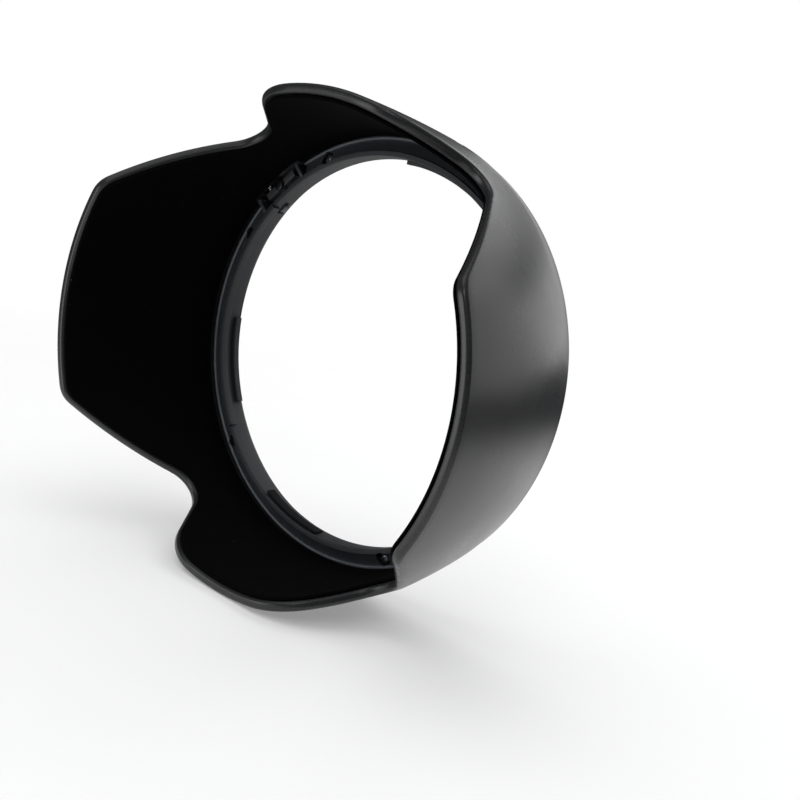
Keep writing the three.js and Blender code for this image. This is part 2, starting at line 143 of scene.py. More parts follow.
class ShellSizes(bpy.types.PropertyGroup):
    """Sizes of the petal shell and its rim."""

    base_radius: length("Base radius", "Outer radius where the petals start", 47.35)
    wall: length("Wall", "Thickness of the moulded wall", 2.0)
    short_reach: length("Short petal", "How far a short petal stands forward of the ledge", 28.4)
    short_spread: length("Short petal spread", "How far a short petal leans outwards", 2.15)
    notch_meet: length("Notch meeting point", "Where the sides of a notch would meet", 9.9)
    long_corner: degrees("Long petal corner", "Angle from a long petal's middle to its corner", 26.3)
    notch_angle: degrees("Notch", "Angle from a long petal's middle to the notch", 54)
    shoulder: degrees("Shoulder", "Angle from a long petal's middle to a short one's shoulder", 71.5)
    corner_round: length("Corner rounding", "Radius of a long petal's corners", 5)
    notch_round: length("Notch rounding", "Radius at the bottom of a notch", 6.5)
    shoulder_round: length("Shoulder rounding", "Radius of a short petal's shoulders", 15)
    rim_round: length("Rim rounding", "Radius of the rim's outer edge", 0.8)
    inner_round: length("Inner rim rounding", "Radius of the rim's inner edge", 0.7)
    collar_taper: length("Collar taper", "How far the collar draws in towards the rear", 0.9)
    rear_round: length("Rear rounding", "Radius of the rear outer edge", 1.0)
    flange_inner: length("Flange radius", "Inner radius of the rear flange", 41.7)
    flange_thickness: length("Flange thickness", "Thickness of the rear flange", 1.3)
    columns: count("Columns", "Columns of faces in a quarter of the rim", 120)
    rows: count("Rows", "Rows of faces between the rim and the collar", 14)


class RingSizes(bpy.types.PropertyGroup):
    """Sizes of the bayonet ring and its ledge."""

    bore: length("Bore radius", "Radius of the opening for the lens", 40.7)
    ledge_rise: length("Ledge rise", "How far the ledge's inner edge stands forward", 1.6)
    lip_round: length("Lip rounding", "Radius of the lip round the ledge", 0.5)
    lug_height: length("Lug height", "How far the bayonet lugs reach inwards", 0.85)
    lug_thickness: length("Lug thickness", "Depth of a bayonet lug", 1.5)
    lug_span: degrees("Lug span", "Angle that a bayonet lug covers", 28)
    rail_height: length("Rail height", "How far the guide rail reaches inwards", 0.6)
    rail_start: degrees("Rail start", "Angle from the lock to where the rail starts", 5)
    rail_end: degrees("Rail end", "Angle from the lock to where the rail ends", 82)
    window: length("Lock window", "Width of the window in the ledge for the lock", 15)
    segments: count("Segments", "Faces round the ring", 480)


class LiningSizes(bpy.types.PropertyGroup):
    """Sizes of the flocked lining and the felt pads."""

    thickness: length("Flock thickness", "Thickness of the flocked lining", 0.5)
    margin: length("Margin", "Bare plastic between the lining and the rim", 0.5)
    start: length("Start", "How far forward of the ledge the lining starts", 1.2)
    gap: length("Gap", "Gap between the wall and the back of the lining", 0.25)
    edge_round: length("Edge rounding", "Radius of the lining's cut edges", 0.15)
    seam: length("Seam", "Gap between neighbouring pieces of the lining", 0.03)


class LockSizes(bpy.types.PropertyGroup):
    """Sizes of the button, the lever, the pin and the spring."""

    lever_width: length("Lever length", "Length of the lever along the ring", 9.2)
    lever_thickness: length("Lever thickness", "Thickness of the lever's bar", 1.6)
    claw_width: length("Claw width", "Width of the claw along the ring", 2.0)
    claw_depth: length("Claw depth", "Depth of the claw along the axis", 1.7)
    pin_radius: length("Pin radius", "Radius of the pivot pin", 0.7)
    button_width: length("Button width", "Width of the button along the ring", 4.8)
    button_depth: length("Button depth", "Depth of the button along the axis", 4.2)
    button_flange: length("Button flange", "How far the hidden flange stands out", 0.6)
    boss_height: length("Boss height", "Height of the pad round the button", 1.0)
    boss_length: length("Boss length", "Length of the pad round the button", 18)
    boss_depth: length("Boss depth", "Depth of the pad round the button", 7.4)
    spring_radius: length("Spring radius", "Radius of the spring's coils", 0.95)
    wire: length("Wire radius", "Radius of the spring's wire", 0.18)
    turns: count("Turns", "Turns of the spring", 4)


class FinishColours(bpy.types.PropertyGroup):
    """Base colours of the finishes."""

    shell: colour("Shell", "Satin plastic of the shell", 0.017, 0.0175, 0.0185)
    ring: colour("Ring", "Fine-grained plastic of the ring", 0.036, 0.040, 0.046)
    lock: colour("Lock", "Plastic of the button and the lever", 0.042, 0.045, 0.050)
    flock: colour("Flock", "Black flock of the lining", 0.0018, 0.0018, 0.0020)
    felt: colour("Felt", "Pressed felt of the pads", 0.011, 0.011, 0.012)
    steel: colour("Steel", "Drawn steel of the pin and the spring", 0.56, 0.57, 0.59)
    oxide: colour("Oxide", "Black oxide of the screws", 0.075, 0.077, 0.082)
    inlay: colour("Inlay", "White inlay of the index marks", 0.70, 0.70, 0.67)
    floor: colour("Floor", "Pale floor of the stage", 0.66, 0.66, 0.66)


class StageSettings(bpy.types.PropertyGroup):
    """The camera, the floor and the lights."""

    azimuth: degrees("Azimuth", "Direction of the camera round the hood", 36.03)
    elevation: degrees("Elevation", "Height of the camera over the horizon", 10.44)
    roll: degrees("Roll", "Turn of the camera about its own view", -13.1)
    distance: length("Distance", "From the camera to the point it looks at", 213.7)
    target: FloatVectorProperty(
        name="Target",
        description="The point that the camera looks at",
        default=(12.28 * MM, 0, -6.43 * MM),
        subtype="XYZ",
    )
    lens: FloatProperty(name="Lens", description="Focal length", default=47.24, unit="CAMERA")
    floor_near: length("Floor fade start", "Where the floor starts to run out into white", 110)
    floor_far: length("Floor fade end", "Where the floor has run out into white", 320)
    ambient: share("Ambient", "Strength of the soft light from all round", 0.06)
    rear_light: share("Rear light", "Brightness of the softbox behind and above", 1.35)
    side_light: share("Side light", "Brightness of the softbox behind on the right", 0.85)
    back_light: share("Back light", "Brightness of the low softbox straight behind", 1.3)
    key_light: share("Key light", "Brightness of the small softbox above the camera", 2.2)
    front_light: share("Front light", "Brightness of the low softbox in front on the left", 2.6)
    top_light: share("Top light", "Brightness of the softbox above", 0.8)
    fill_light: share("Fill light", "Brightness of the wide light that only lights matt surfaces", 1.3)


# ---- Material making ------------------------------------------------------------------------


class Value:
    """A number that varies over a surface. Arithmetic on it adds Math nodes to its finish."""

    def __init__(self, finish, socket):
        self.finish = finish
        self.socket = socket

    def __add__(self, other):
        return self.finish.math("ADD", self, other)

    __radd__ = __add__

    def __mul__(self, other):
        return self.finish.math("MULTIPLY", self, other)

    __rmul__ = __mul__

    def __sub__(self, other):
        return self.finish.math("SUBTRACT", self, other)

    def __rsub__(self, other):
        return self.finish.math("SUBTRACT", other, self)

    def ramp(self, low, high):
        """0 up to low, 1 from high on, and smooth between them."""
        settings = {"interpolation_type": "SMOOTHSTEP"}
        sockets = {"Value": self, "From Min": low, "From Max": high}
        return self.finish.add("ShaderNodeMapRange", settings, sockets)


class Finish:
    """A procedural material that is built up node by node."""

    def __init__(self, name):
        self.material = bpy.data.materials.new(name)
        self.material.use_nodes = True
        self.tree = self.material.node_tree
        self.tree.nodes.clear()
        self.place = self.add("ShaderNodeTexCoord", output="Object")

    def add(self, kind, settings=None, sockets=None, output=0):
        """Adds a node: its settings first, then the values or links of its sockets."""
        node = self.tree.nodes.new(kind)
        for name, setting in (settings or {}).items():
            setattr(node, name, setting)
        for name, value in (sockets or {}).items():
            if isinstance(value, Value):
                self.tree.links.new(value.socket, node.inputs[name])
            else:
                node.inputs[name].default_value = value
        return Value(self, node.outputs[output])

    def math(self, operation, first, second):
        return self.add("ShaderNodeMath", {"operation": operation}, {0: first, 1: second})

    def noise(self, size, detail=2.0, stretch=None, seed=0.0):
        """Soft noise whose features are about `size` metres wide."""
        place = self.place
        if stretch:
            sockets = {"Vector": place, "Scale": stretch, "Location": (seed, seed, seed)}
            place = self.add("ShaderNodeMapping", None, sockets)
        sockets = {"Vector": place, "Scale": 1 / size, "Detail": detail}
        return self.add("ShaderNodeTexNoise", None, sockets)

    def cells(self, size):
        """Distance to the nearest of many scattered points, in cells about `size` metres wide."""
        return self.add("ShaderNodeTexVoronoi", None, {"Vector": self.place, "Scale": 1 / size})

    def attribute(self, name):
        """A number stored on the mesh."""
        return self.add("ShaderNodeAttribute", {"attribute_name": name}, output="Fac")

    def radius(self, plane=(1, 0, 1)):
        """Distance from the hood's axis, or from the middle of another plane, in metres."""
        flat = self.add(
            "ShaderNodeVectorMath", {"operation": "MULTIPLY"}, {0: self.place, 1: plane}
        )
        return self.add(
            "ShaderNodeVectorMath", {"operation": "LENGTH"}, {0: flat}, output="Value"
        )

    def blend(self, mask, base, other):
        """One colour where the mask is 0 and another where it is 1."""
        sockets = {0: mask, 6: as_colour(base), 7: as_colour(other)}
        return self.add("ShaderNodeMix", {"data_type": "RGBA"}, sockets, output=2)

    def bump(self, height, depth, strength):
        """A normal from a height of 0 to 1 that stands for `depth` metres."""
        sockets = {"Height": height, "Distance": depth, "Strength": strength}
        return self.add("ShaderNodeBump", None, sockets, output="Normal")

    def shade(self, sockets):
        """Ends the finish with a surface shader and gives its material."""
        shader = self.add("ShaderNodeBsdfPrincipled", None, sockets)
        output = self.tree.nodes.new("ShaderNodeOutputMaterial")
        self.tree.links.new(shader.socket, output.inputs["Surface"])
        return self.material


def as_colour(value):
    return value if isinstance(value, Value) else (*value, 1)


def scaled(tint, factor):
    """A colour made lighter or darker."""
    return tuple(min(channel * factor, 1) for channel in tint)


def moulded_plastic(name, tint, roughness, grain, wear=0.0):
    """Satin moulded plastic: fine grain, soft patches, dust and, where asked, rubbed edges."""
    finish = Finish(name)
    patches = finish.noise(9 * MM, 3)
    fine = finish.noise(grain, 3)
    pits = finish.cells(grain * 1.7)
    dust = finish.cells(1.1 * MM).ramp(0.045, 0.02) * finish.noise(5 * MM).ramp(0.52, 0.62)
    base = finish.blend(patches, scaled(tint, 0.82), scaled(tint, 1.2))
    rough = roughness + (patches - 0.5) * 0.10 + (fine - 0.5) * 0.06 + dust * 0.3
    if wear:
        rubbed = finish.attribute("edge") * finish.noise(0.8 * MM, 4).ramp(0.35, 0.7)
        base = finish.blend(rubbed * wear, base, scaled(tint, 3.2))
        rough = rough - rubbed * 0.08
    base = finish.blend(dust * 0.5, base, (0.20, 0.20, 0.19))
    height = fine * 0.7 + pits * 0.3
    return finish.shade(
        {
            "Base Color": base,
            "Roughness": rough,
            "Normal": finish.bump(height, grain * 0.10, 0.6),
            "Specular IOR Level": 0.46,
        }
    )


def shell_plastic(colours):
    return moulded_plastic(
        "satin_shell_plastic", colours.shell, roughness=0.29, grain=0.16 * MM, wear=0.25
    )


def lock_plastic(colours):
    return moulded_plastic("lock_plastic", colours.lock, roughness=0.42, grain=0.12 * MM)


def ring_plastic(colours):
    """Fine-grained plastic with the faint circles that turning leaves in a mould, a painted highlight
    on the lip and painted shade towards the bore.
    """
    finish = Finish("fine_ring_plastic")
    patches = finish.noise(6 * MM, 3)
    fine = finish.noise(0.10 * MM, 2)
    circles = finish.math("SINE", finish.radius() * (2 * math.pi / (0.22 * MM)), 0)
    dust = finish.cells(0.9 * MM).ramp(0.05, 0.02) * finish.noise(4 * MM).ramp(0.5, 0.62)
    base = finish.blend(patches, scaled(colours.ring, 0.8), scaled(colours.ring, 1.2))
    base = finish.blend(dust * 0.6, base, (0.25, 0.25, 0.24))
    # Painted highlight: the lip's outer edge is made lighter in colour; its lower roughness below is
    # real gloss.
    lip = finish.radius().ramp(RING_HIGH.x - 1.0 * MM, RING_HIGH.x - 0.8 * MM)
    base = finish.blend(lip * 0.6, base, scaled(colours.ring, 2.4))
    # Painted shade: the ring's colour is darkened towards the bore; the extra roughness there is real.
    bore = 1 - finish.radius().ramp(RING_HIGH.x - 3.9 * MM, RING_HIGH.x - 2.9 * MM)
    base = finish.blend(bore * 0.8, base, scaled(colours.ring, 0.3))
    height = fine * 0.8 + circles * 0.12
    return finish.shade(
        {
            "Base Color": base,
            "Roughness": 0.40 + (patches - 0.5) * 0.12 + (fine - 0.5) * 0.08 - lip * 0.14 + bore * 0.2,
            "Normal": finish.bump(height, 0.012 * MM, 0.6),
            "Specular IOR Level": 0.5,
        }
    )


def flock_finish(name, tint, fibre, sheen):
    """Short black pile: a fibrous surface with a soft sheen and a little caught dust."""
    finish = Finish(name)
    fibres = finish.noise(fibre, 4)
    across = finish.noise(fibre, 2, stretch=(1, 0.35, 1), seed=0.37)
    nap = finish.noise(7 * MM, 3)
    specks = finish.cells(2.6 * MM).ramp(0.040, 0.015) * finish.noise(9 * MM).ramp(0.5, 0.6)
    base = finish.blend(fibres * 0.6 + nap * 0.4, scaled(tint, 0.45), scaled(tint, 1.7))
    base = finish.blend(specks * 0.7, base, (0.18, 0.18, 0.17))
    height = fibres * 0.6 + across * 0.4
    return finish.shade(
        {
            "Base Color": base,
            "Roughness": 0.92 + (nap - 0.5) * 0.10,
            "Normal": finish.bump(height, fibre * 0.6, 0.8),
            "Specular IOR Level": 0.02,
            "Sheen Weight": sheen,
            "Sheen Roughness": 0.55,
            "Sheen Tint": (0.5, 0.52, 0.56, 1),
        }
    )


def metal_finish(name, tint, roughness, patchy):
    """Metal with fine drawing marks and uneven patches."""
    finish = Finish(name)
    marks = finish.noise(0.05 * MM, 3, stretch=(1, 0.08, 1), seed=0.21)
    patches = finish.noise(0.9 * MM, 4)
    base = finish.blend(patches, scaled(tint, 1 - patchy), scaled(tint, 1 + patchy))
    return finish.shade(
        {
            "Base Color": base,
            "Roughness": roughness + (patches - 0.5) * 0.2 + (marks - 0.5) * 0.12,
            "Metallic": 1.0,
            "Normal": finish.bump(marks, 0.004 * MM, 0.5),
        }
    )


def inlay_finish(colours):
    """White paint pressed into the plastic, a little worn and greyed."""
    finish = Finish("white_inlay")
    grime = finish.noise(0.5 * MM, 4)
    base = finish.blend(grime.ramp(0.5, 0.75) * 0.5, colours.inlay, scaled(colours.inlay, 0.55))
    return finish.shade(
        {
            "Base Color": base,
            "Roughness": 0.45 + (grime - 0.5) * 0.2,
            "Normal": finish.bump(finish.noise(0.12 * MM, 2), 0.01 * MM, 0.6),
        }
    )


def floor_finish(colours, near, far):
    """A pale floor that runs out into the white behind it between two distances."""
    finish = Finish("pale_floor")
    tone = finish.noise(120 * MM, 3)
    base = finish.blend(tone, scaled(colours.floor, 0.985), colours.floor)
    return finish.shade(
        {
            "Base Color": base,
            "Roughness": 0.7 + (tone - 0.5) * 0.05,
            "Specular IOR Level": 0.1,
            "Emission Color": (1, 1, 1, 1),
            "Emission Strength": 0.25,
            "Alpha": 1 - finish.radius((1, 1, 0)).ramp(near, far),
        }
    )


# ---- Mesh making ----------------------------------------------------------------------------


def new_object(name, vertices, faces):
    mesh = bpy.data.meshes.new(name)
    mesh.from_pydata([tuple(v) for v in vertices], [], [tuple(f) for f in faces])
    piece = bpy.data.objects.new(name, mesh)
    bpy.context.scene.collection.objects.link(piece)
    return piece


def face_outwards(piece):
    """Welds what coincides and turns every face of a closed mesh outwards."""
    shape = bmesh.new()
    shape.from_mesh(piece.data)
    bmesh.ops.remove_doubles(shape, verts=shape.verts, dist=1e-7)
    bmesh.ops.recalc_face_normals(shape, faces=shape.faces)
    shape.to_mesh(piece.data)
    shape.free()


def smooth(piece, sharp):
    """Smooth shading that keeps the edges over `sharp` degrees crisp."""
    mesh = piece.data
    mesh.polygons.foreach_set("use_smooth", np.ones(len(mesh.polygons), dtype=bool))
    mesh.set_sharp_from_angle(angle=math.radians(sharp))
    mesh.update()


def grid(name, points, close_columns=True):
    """A closed mesh from rows of points. Open columns get a cap at each end."""
    rows, columns = points.shape[:2]
    faces = []
    for i in range(rows):
        for j in range(columns if close_columns else columns - 1):
            k, m = (i + 1) % rows, (j + 1) % columns
            faces.append((i * columns + j, i * columns + m, k * columns + m, k * columns + j))
    if not close_columns:
        faces.append([i * columns for i in range(rows)])
        faces.append([i * columns + columns - 1 for i in reversed(range(rows))])
    piece = new_object(name, points.reshape(-1, 3), faces)
    face_outwards(piece)
    return piece


def turned(name, profile, segments, matrix):
    """A solid turned round the local Z axis from a profile of (radius, z) that ends on the axis."""
    inner = profile[1:-1]
    angles = np.arange(segments) * 2 * math.pi / segments
    vertices = [(0, 0, profile[0][1])]
    for radius, z in inner:
        vertices.extend((radius * math.cos(a), radius * math.sin(a), z) for a in angles)
    vertices.append((0, 0, profile[-1][1]))
    last = len(vertices) - 1
    faces = []
    for j in range(segments):
        m = (j + 1) % segments
        faces.append((0, 1 + m, 1 + j))
        for i in range(len(inner) - 1):
            low, high = 1 + i * segments, 1 + (i + 1) * segments
            faces.append((low + j, low + m, high + m, high + j))
        top = 1 + (len(inner) - 1) * segments
        faces.append((last, top + j, top + m))
    piece = new_object(name, vertices, faces)
    piece.data.transform(matrix)
    face_outwards(piece)
    return piece


def block(name, xs, ys, zs, bevel=0.0, matrix=LOCK_TURN, segments=3):
    """A block with rounded edges, drawn in the lock's frame unless told otherwise."""
    shape = bmesh.new()
    bmesh.ops.create_cube(shape, size=1)
    size = Vector((xs[1] - xs[0], ys[1] - ys[0], zs[1] - zs[0]))
    middle = Vector((sum(xs) / 2, sum(ys) / 2, sum(zs) / 2))
    bmesh.ops.scale(shape, vec=size, verts=shape.verts)
    bmesh.ops.translate(shape, vec=middle, verts=shape.verts)
    if bevel:
        bmesh.ops.bevel(
            shape,
            geom=shape.edges[:],
            offset=bevel,
            segments=segments,
            profile=0.5,
            affect="EDGES",
            clamp_overlap=True,
        )
    piece = new_object(name, [], [])
    shape.to_mesh(piece.data)
    shape.free()
    piece.data.transform(matrix)
    face_outwards(piece)
    return piece


def sector(name, start, end, radii, rows, bevel, segments=None):
    """A stretch of ring between two angles, two radii and two depths, with rounded edges."""
    segments = segments or max(8, round(math.degrees(end - start)))
    section = rounded_section(radii, rows, bevel)
    angles = np.linspace(start, end, segments + 1)
    points = np.array(
        [[(r * math.cos(a), y, r * math.sin(a)) for a in angles] for r, y in section]
    )
    return grid(name, points, close_columns=False)


def rounded_section(radii, rows, bevel, steps=4):
    """The outline of a rectangle of (radius, y) with rounded corners."""
    (low, high), (front, rear) = radii, rows
    corners = [
        (low + bevel, front + bevel, math.pi),
        (high - bevel, front + bevel, 1.5 * math.pi),
        (high - bevel, rear - bevel, 0),
        (low + bevel, rear - bevel, 0.5 * math.pi),
    ]
    outline = []
    for x, y, start in corners:
        for i in range(steps + 1):
            angle = start + i / steps * math.pi / 2
            outline.append((x + bevel * math.cos(angle), y + bevel * math.sin(angle)))
    return outline


def arc(x, y, radius, start, end, steps=6):
    """Points along an arc, from one angle in degrees to another."""
    angles = np.radians(np.linspace(start, end, steps + 1))
    return [(x + radius * math.cos(a), y + radius * math.sin(a)) for a in angles]


def settle(piece):
    """Makes what the modifiers give the piece's own mesh."""
    graph = bpy.context.evaluated_depsgraph_get()
    mesh = bpy.data.meshes.new_from_object(piece.evaluated_get(graph))
    piece.modifiers.clear()
    piece.data = mesh


def combine(piece, tools, operation):
    """Joins closed shapes to a piece or cuts them from it, and removes them."""
    for tool in tools:
        modifier = piece.modifiers.new(tool.name, "BOOLEAN")
        modifier.operation = operation
        modifier.solver = "EXACT"
        modifier.object = tool
    settle(piece)
    for tool in tools:
        bpy.data.objects.remove(tool)


def together(name, parts):
    """One object from several closed shapes that don't touch."""
    shape = bmesh.new()
    for part in parts:
        shape.from_mesh(part.data)
        bpy.data.objects.remove(part)
    piece = new_object(name, [], [])
    shape.to_mesh(piece.data)
    shape.free()
    return piece


def finish_piece(piece, material, body, nodes):
    """Gives a piece its material, hides the packed parts that it stands for and ties it to the body
    that it moves with.
    """
    piece.data.materials.clear()
    piece.data.materials.append(material)
    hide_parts(*nodes)
    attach(piece, body)


# ---- The petals' shape ----------------------------------------------------------------------


class Petals:
    """The rim's outline and the spreading wall that it cuts."""

    def __init__(self, sizes):
        self.sizes = sizes
        self.reach = -SHELL_LOW.y
        self.base = sizes.base_radius
        self.long_spread = SHELL_HIGH.x - self.base
        self.arc = self.base + sizes.short_spread
        self.angles, self.ys, self.normals = self.rim()

    def spread(self, angles, ys):
        """How far the wall has moved outwards at a place on a petal."""
        reach = np.clip(-ys / self.reach, 0, 1)
        mean = (self.long_spread + self.sizes.short_spread) / 2
        swing = (self.long_spread - self.sizes.short_spread) / 2
        return (mean + swing * np.cos(2 * angles)) * (1 - (1 - reach) ** 2)

    def points(self, angles, ys, depth):
        """Places on the wall, `depth` below its outer face."""
        radii = self.base + self.spread(angles, ys) - depth
        return np.stack([radii * np.cos(angles), ys, radii * np.sin(angles)], axis=-1)

    def quarter(self):
        """The rim from the middle of a long petal to the middle of a short one, unrolled."""
        s = self.sizes
        middle = np.array((0, -self.reach))
        corner = np.array((s.long_corner * self.arc, -self.reach))
        notch = np.array((s.notch_angle * self.arc, -s.notch_meet))
        shoulder = np.array((s.shoulder * self.arc, -s.short_reach))
        crest = np.array((math.pi / 2 * self.arc, -s.short_reach))
        line = [middle]
        line += round_corner(middle, corner, notch, s.corner_round)
        line += round_corner(corner, notch, shoulder, s.notch_round)
        line += round_corner(notch, shoulder, crest, s.shoulder_round)
        line.append(crest)
        return even_steps(np.array(line), s.columns)

    def rim(self):
        """Angle, y and inward direction at each column all the way round."""
        line = self.quarter()
        along = np.gradient(line, axis=0)
        along /= np.linalg.norm(along, axis=1)[:, None]
        along[0] = along[-1] = (1, 0)
        normals = np.stack([-along[:, 1], along[:, 0]], axis=1)
        angles = line[:, 0] / self.arc
        back = slice(-1, 0, -1)
        flip = np.array((-1, 1))
        turn = math.pi
        all_angles = [angles[:-1], turn - angles[back], turn + angles[:-1], 2 * turn - angles[back]]
        all_ys = [line[:-1, 1], line[back, 1]] * 2
        all_normals = [normals[:-1], normals[back] * flip] * 2
        return np.concatenate(all_angles), np.concatenate(all_ys), np.concatenate(all_normals)

    def inset(self, distance):
        """The rim's columns moved back into the wall."""
        angles = self.angles + self.normals[:, 0] * distance / self.arc
        return angles, self.ys + self.normals[:, 1] * distance

    def row(self, distance, depth):
        return self.points(*self.inset(distance), depth)

    def between(self, distance, start, depth, shares):
        """Rows from near the rim, where the share is 0, back to y = start, where it is 1."""
        angles, ys = self.inset(distance)
        rows = []
        for part in shares:
            here = angles + (self.angles - angles) * part
            rows.append(self.points(here, ys + (start - ys) * part, depth))
        return rows


def round_corner(before, corner, after, radius, steps=14):
    """The points of an arc that rounds off a corner of the rim."""
    back = (before - corner) / np.linalg.norm(before - corner)
    ahead = (after - corner) / np.linalg.norm(after - corner)
    half = math.acos(float(back @ ahead)) / 2
    inward = (back + ahead) / np.linalg.norm(back + ahead)
    centre = corner + inward * radius / math.sin(half)
    start = corner + back * radius / math.tan(half) - centre
    end = corner + ahead * radius / math.tan(half) - centre
    turn = math.atan2(start[0] * end[1] - start[1] * end[0], float(start @ end))
    angles = [turn * i / steps for i in range(steps + 1)]
    return [centre + rotated(start, angle) for angle in angles]


def rotated(point, angle):
    c, s = math.cos(angle), math.sin(angle)
    return np.array((point[0] * c - point[1] * s, point[0] * s + point[1] * c))


def even_steps(line, steps):
    """The same line with evenly spaced points."""
    lengths = np.concatenate([[0], np.cumsum(np.linalg.norm(np.diff(line, axis=0), axis=1))])
    wanted = np.linspace(0, lengths[-1], steps + 1)
    return np.stack([np.interp(wanted, lengths, line[:, i]) for i in (0, 1)], axis=1)


# ---- Petal shell ----------------------------------------------------------------------------


def shell_rows(petals):
    """Every row of the shell, once round its section."""
    s = petals.sizes
    wall, outer, inner = s.wall, s.rim_round, s.inner_round
    settled = 2.4 * MM  # how far from the rim the rows stop following it
    shares = [1 - (1 - i / s.rows) ** 1.15 for i in range(s.rows + 1)]
    rows = petals.between(settled, start=0, depth=0, shares=reversed(shares))
    for angle in np.radians(np.linspace(0, 90, 8)):
        rows.append(petals.row(outer * (1 - math.sin(angle)), outer * (1 - math.cos(angle))))
    for angle in np.radians(np.linspace(0, 90, 8)):
        depth = wall - inner + inner * math.sin(angle)
        rows.append(petals.row(inner * (1 - math.cos(angle)), depth))
    rows += petals.between(settled, start=0, depth=wall, shares=shares)
    rows += [ring_row(petals.angles, radius, y) for radius, y in collar_section(s)]
    return np.array(rows)


def collar_section(s):
    """The rear of the shell as (radius, y), from inside the wall round to its outer face."""
    rear = SHELL_HIGH.y
    front = rear - s.flange_thickness
    inside = s.base_radius - s.wall
    edge = 0.25 * MM
    outside = s.base_radius - s.collar_taper
    section = [(inside, front * 0.5)]
    section += arc(inside - edge, front - edge, edge, 0, 90, 3)
    section += arc(s.flange_inner + edge, front + edge, edge, 270, 180, 3)
    section += arc(s.flange_inner + edge, rear - edge, edge, 180, 90, 3)
    section += arc(outside - s.rear_round, rear - s.rear_round, s.rear_round, 90, 0, 6)
    section.append((s.base_radius - s.collar_taper * 0.45, (rear - s.rear_round) * 0.45))
    return section


def ring_row(angles, radius, y):
    return np.stack([radius * np.cos(angles), np.full_like(angles, y), radius * np.sin(angles)], -1)


def lock_rows(lock):
    """Heights over the axis that the lock's parts share, by name."""
    lever_top = RING_HIGH.x - LEVER_INSET
    foot = lever_top + RUNNING_GAP
    flange_top = foot + FOOT_HEIGHT + lock.button_flange
    boss_top = bpy.context.scene.hood_shell.base_radius + lock.boss_height
    return {
        "lever_top": lever_top,
        "foot": foot,
        "flange_top": flange_top,
        "boss_top": boss_top,
        "button_top": boss_top + BUTTON_STAND,
        "middle": (LEVER_LOW.y + LEVER_HIGH.y) / 2,
        "pivot": lever_top - lock.lever_thickness / 2,
        "button_side": lock.lever_width / 2 - BUTTON_END,
        "claw_side": -lock.lever_width / 2 + lock.claw_width / 2,
        "spring_foot": lever_top + RUNNING_GAP,
        "spring_head": boss_top - SPRING_ROOF,
    }


def around(middle, half):
    return (middle - half, middle + half)


def lock_room(shell, lock):
    """What is cut out of the shell for the button, the lever and the spring."""
    at = lock_rows(lock)
    gap = RUNNING_GAP
    rear = SHELL_HIGH.y - shell.flange_thickness
    inside = shell.base_radius - shell.wall - SPARE
    half_width = lock.button_width / 2
    half_depth = lock.button_depth / 2
    skirt = lock.button_flange + gap
    window = block(
        "window",
        around(at["button_side"], half_width + gap),
        around(at["middle"], half_depth + gap),
        (inside, at["button_top"] + SPARE),
        bevel=0.9 * MM,
        segments=4,
    )
    skirt_room = block(
        "skirt_room",
        around(at["button_side"], half_width + skirt),
        (at["middle"] - half_depth - skirt, rear),
        (inside, at["flange_top"] + gap),
    )
    lever_room = block(
        "lever_room",
        around(at["claw_side"], lock.claw_width / 2 + 3 * gap),
        (LEVER_LOW.y - gap, rear),
        (inside, at["lever_top"] + 1.3 * MM),
    )
    pocket = lock.spring_radius + lock.wire + gap
    roof = at["spring_head"] + gap
    profile = [(0, inside), (pocket, inside), (pocket, roof), (0, roof)]
    place = LOCK_TURN @ Matrix.Translation((at["claw_side"], at["middle"], 0))
    spring_room = turned("spring_room", profile, segments=32, matrix=place)
    return [window, skirt_room, lever_room, spring_room]


def axial_hole(name, radius, front, rear, circle, angle):
    """A round bar along the hood's axis, at a radius and an angle round it."""
    profile = [(0, -rear), (radius, -rear), (radius, -front), (0, -front)]
    return turned(name, profile, segments=32, matrix=axial_matrix(circle, angle))


def axial_matrix(circle, angle):
    """A frame whose Z points to the front, at a radius and an angle round the hood's axis."""
    return radial_matrix(angle, circle, 0) @ Matrix.Rotation(math.pi / 2, 4, "X")


def screw_circle():
    """Radius of the circle that the screws stand on."""
    return bpy.context.scene.hood_ring.bore + SCREW_INSET


def screw_angles():
    signs = ((sign, offset) for offset in SCREW_OFFSETS for sign in (-1, 1))
    return [LOCK_ANGLE + sign * math.radians(offset) for sign, offset in signs]


def radial_matrix(angle, height, y):
    """A frame whose Z points outwards at an angle round the axis, at a height and a depth."""
    return Matrix.Rotation(math.pi / 2 - angle, 4, "Y") @ Matrix.Translation((0, y, height))


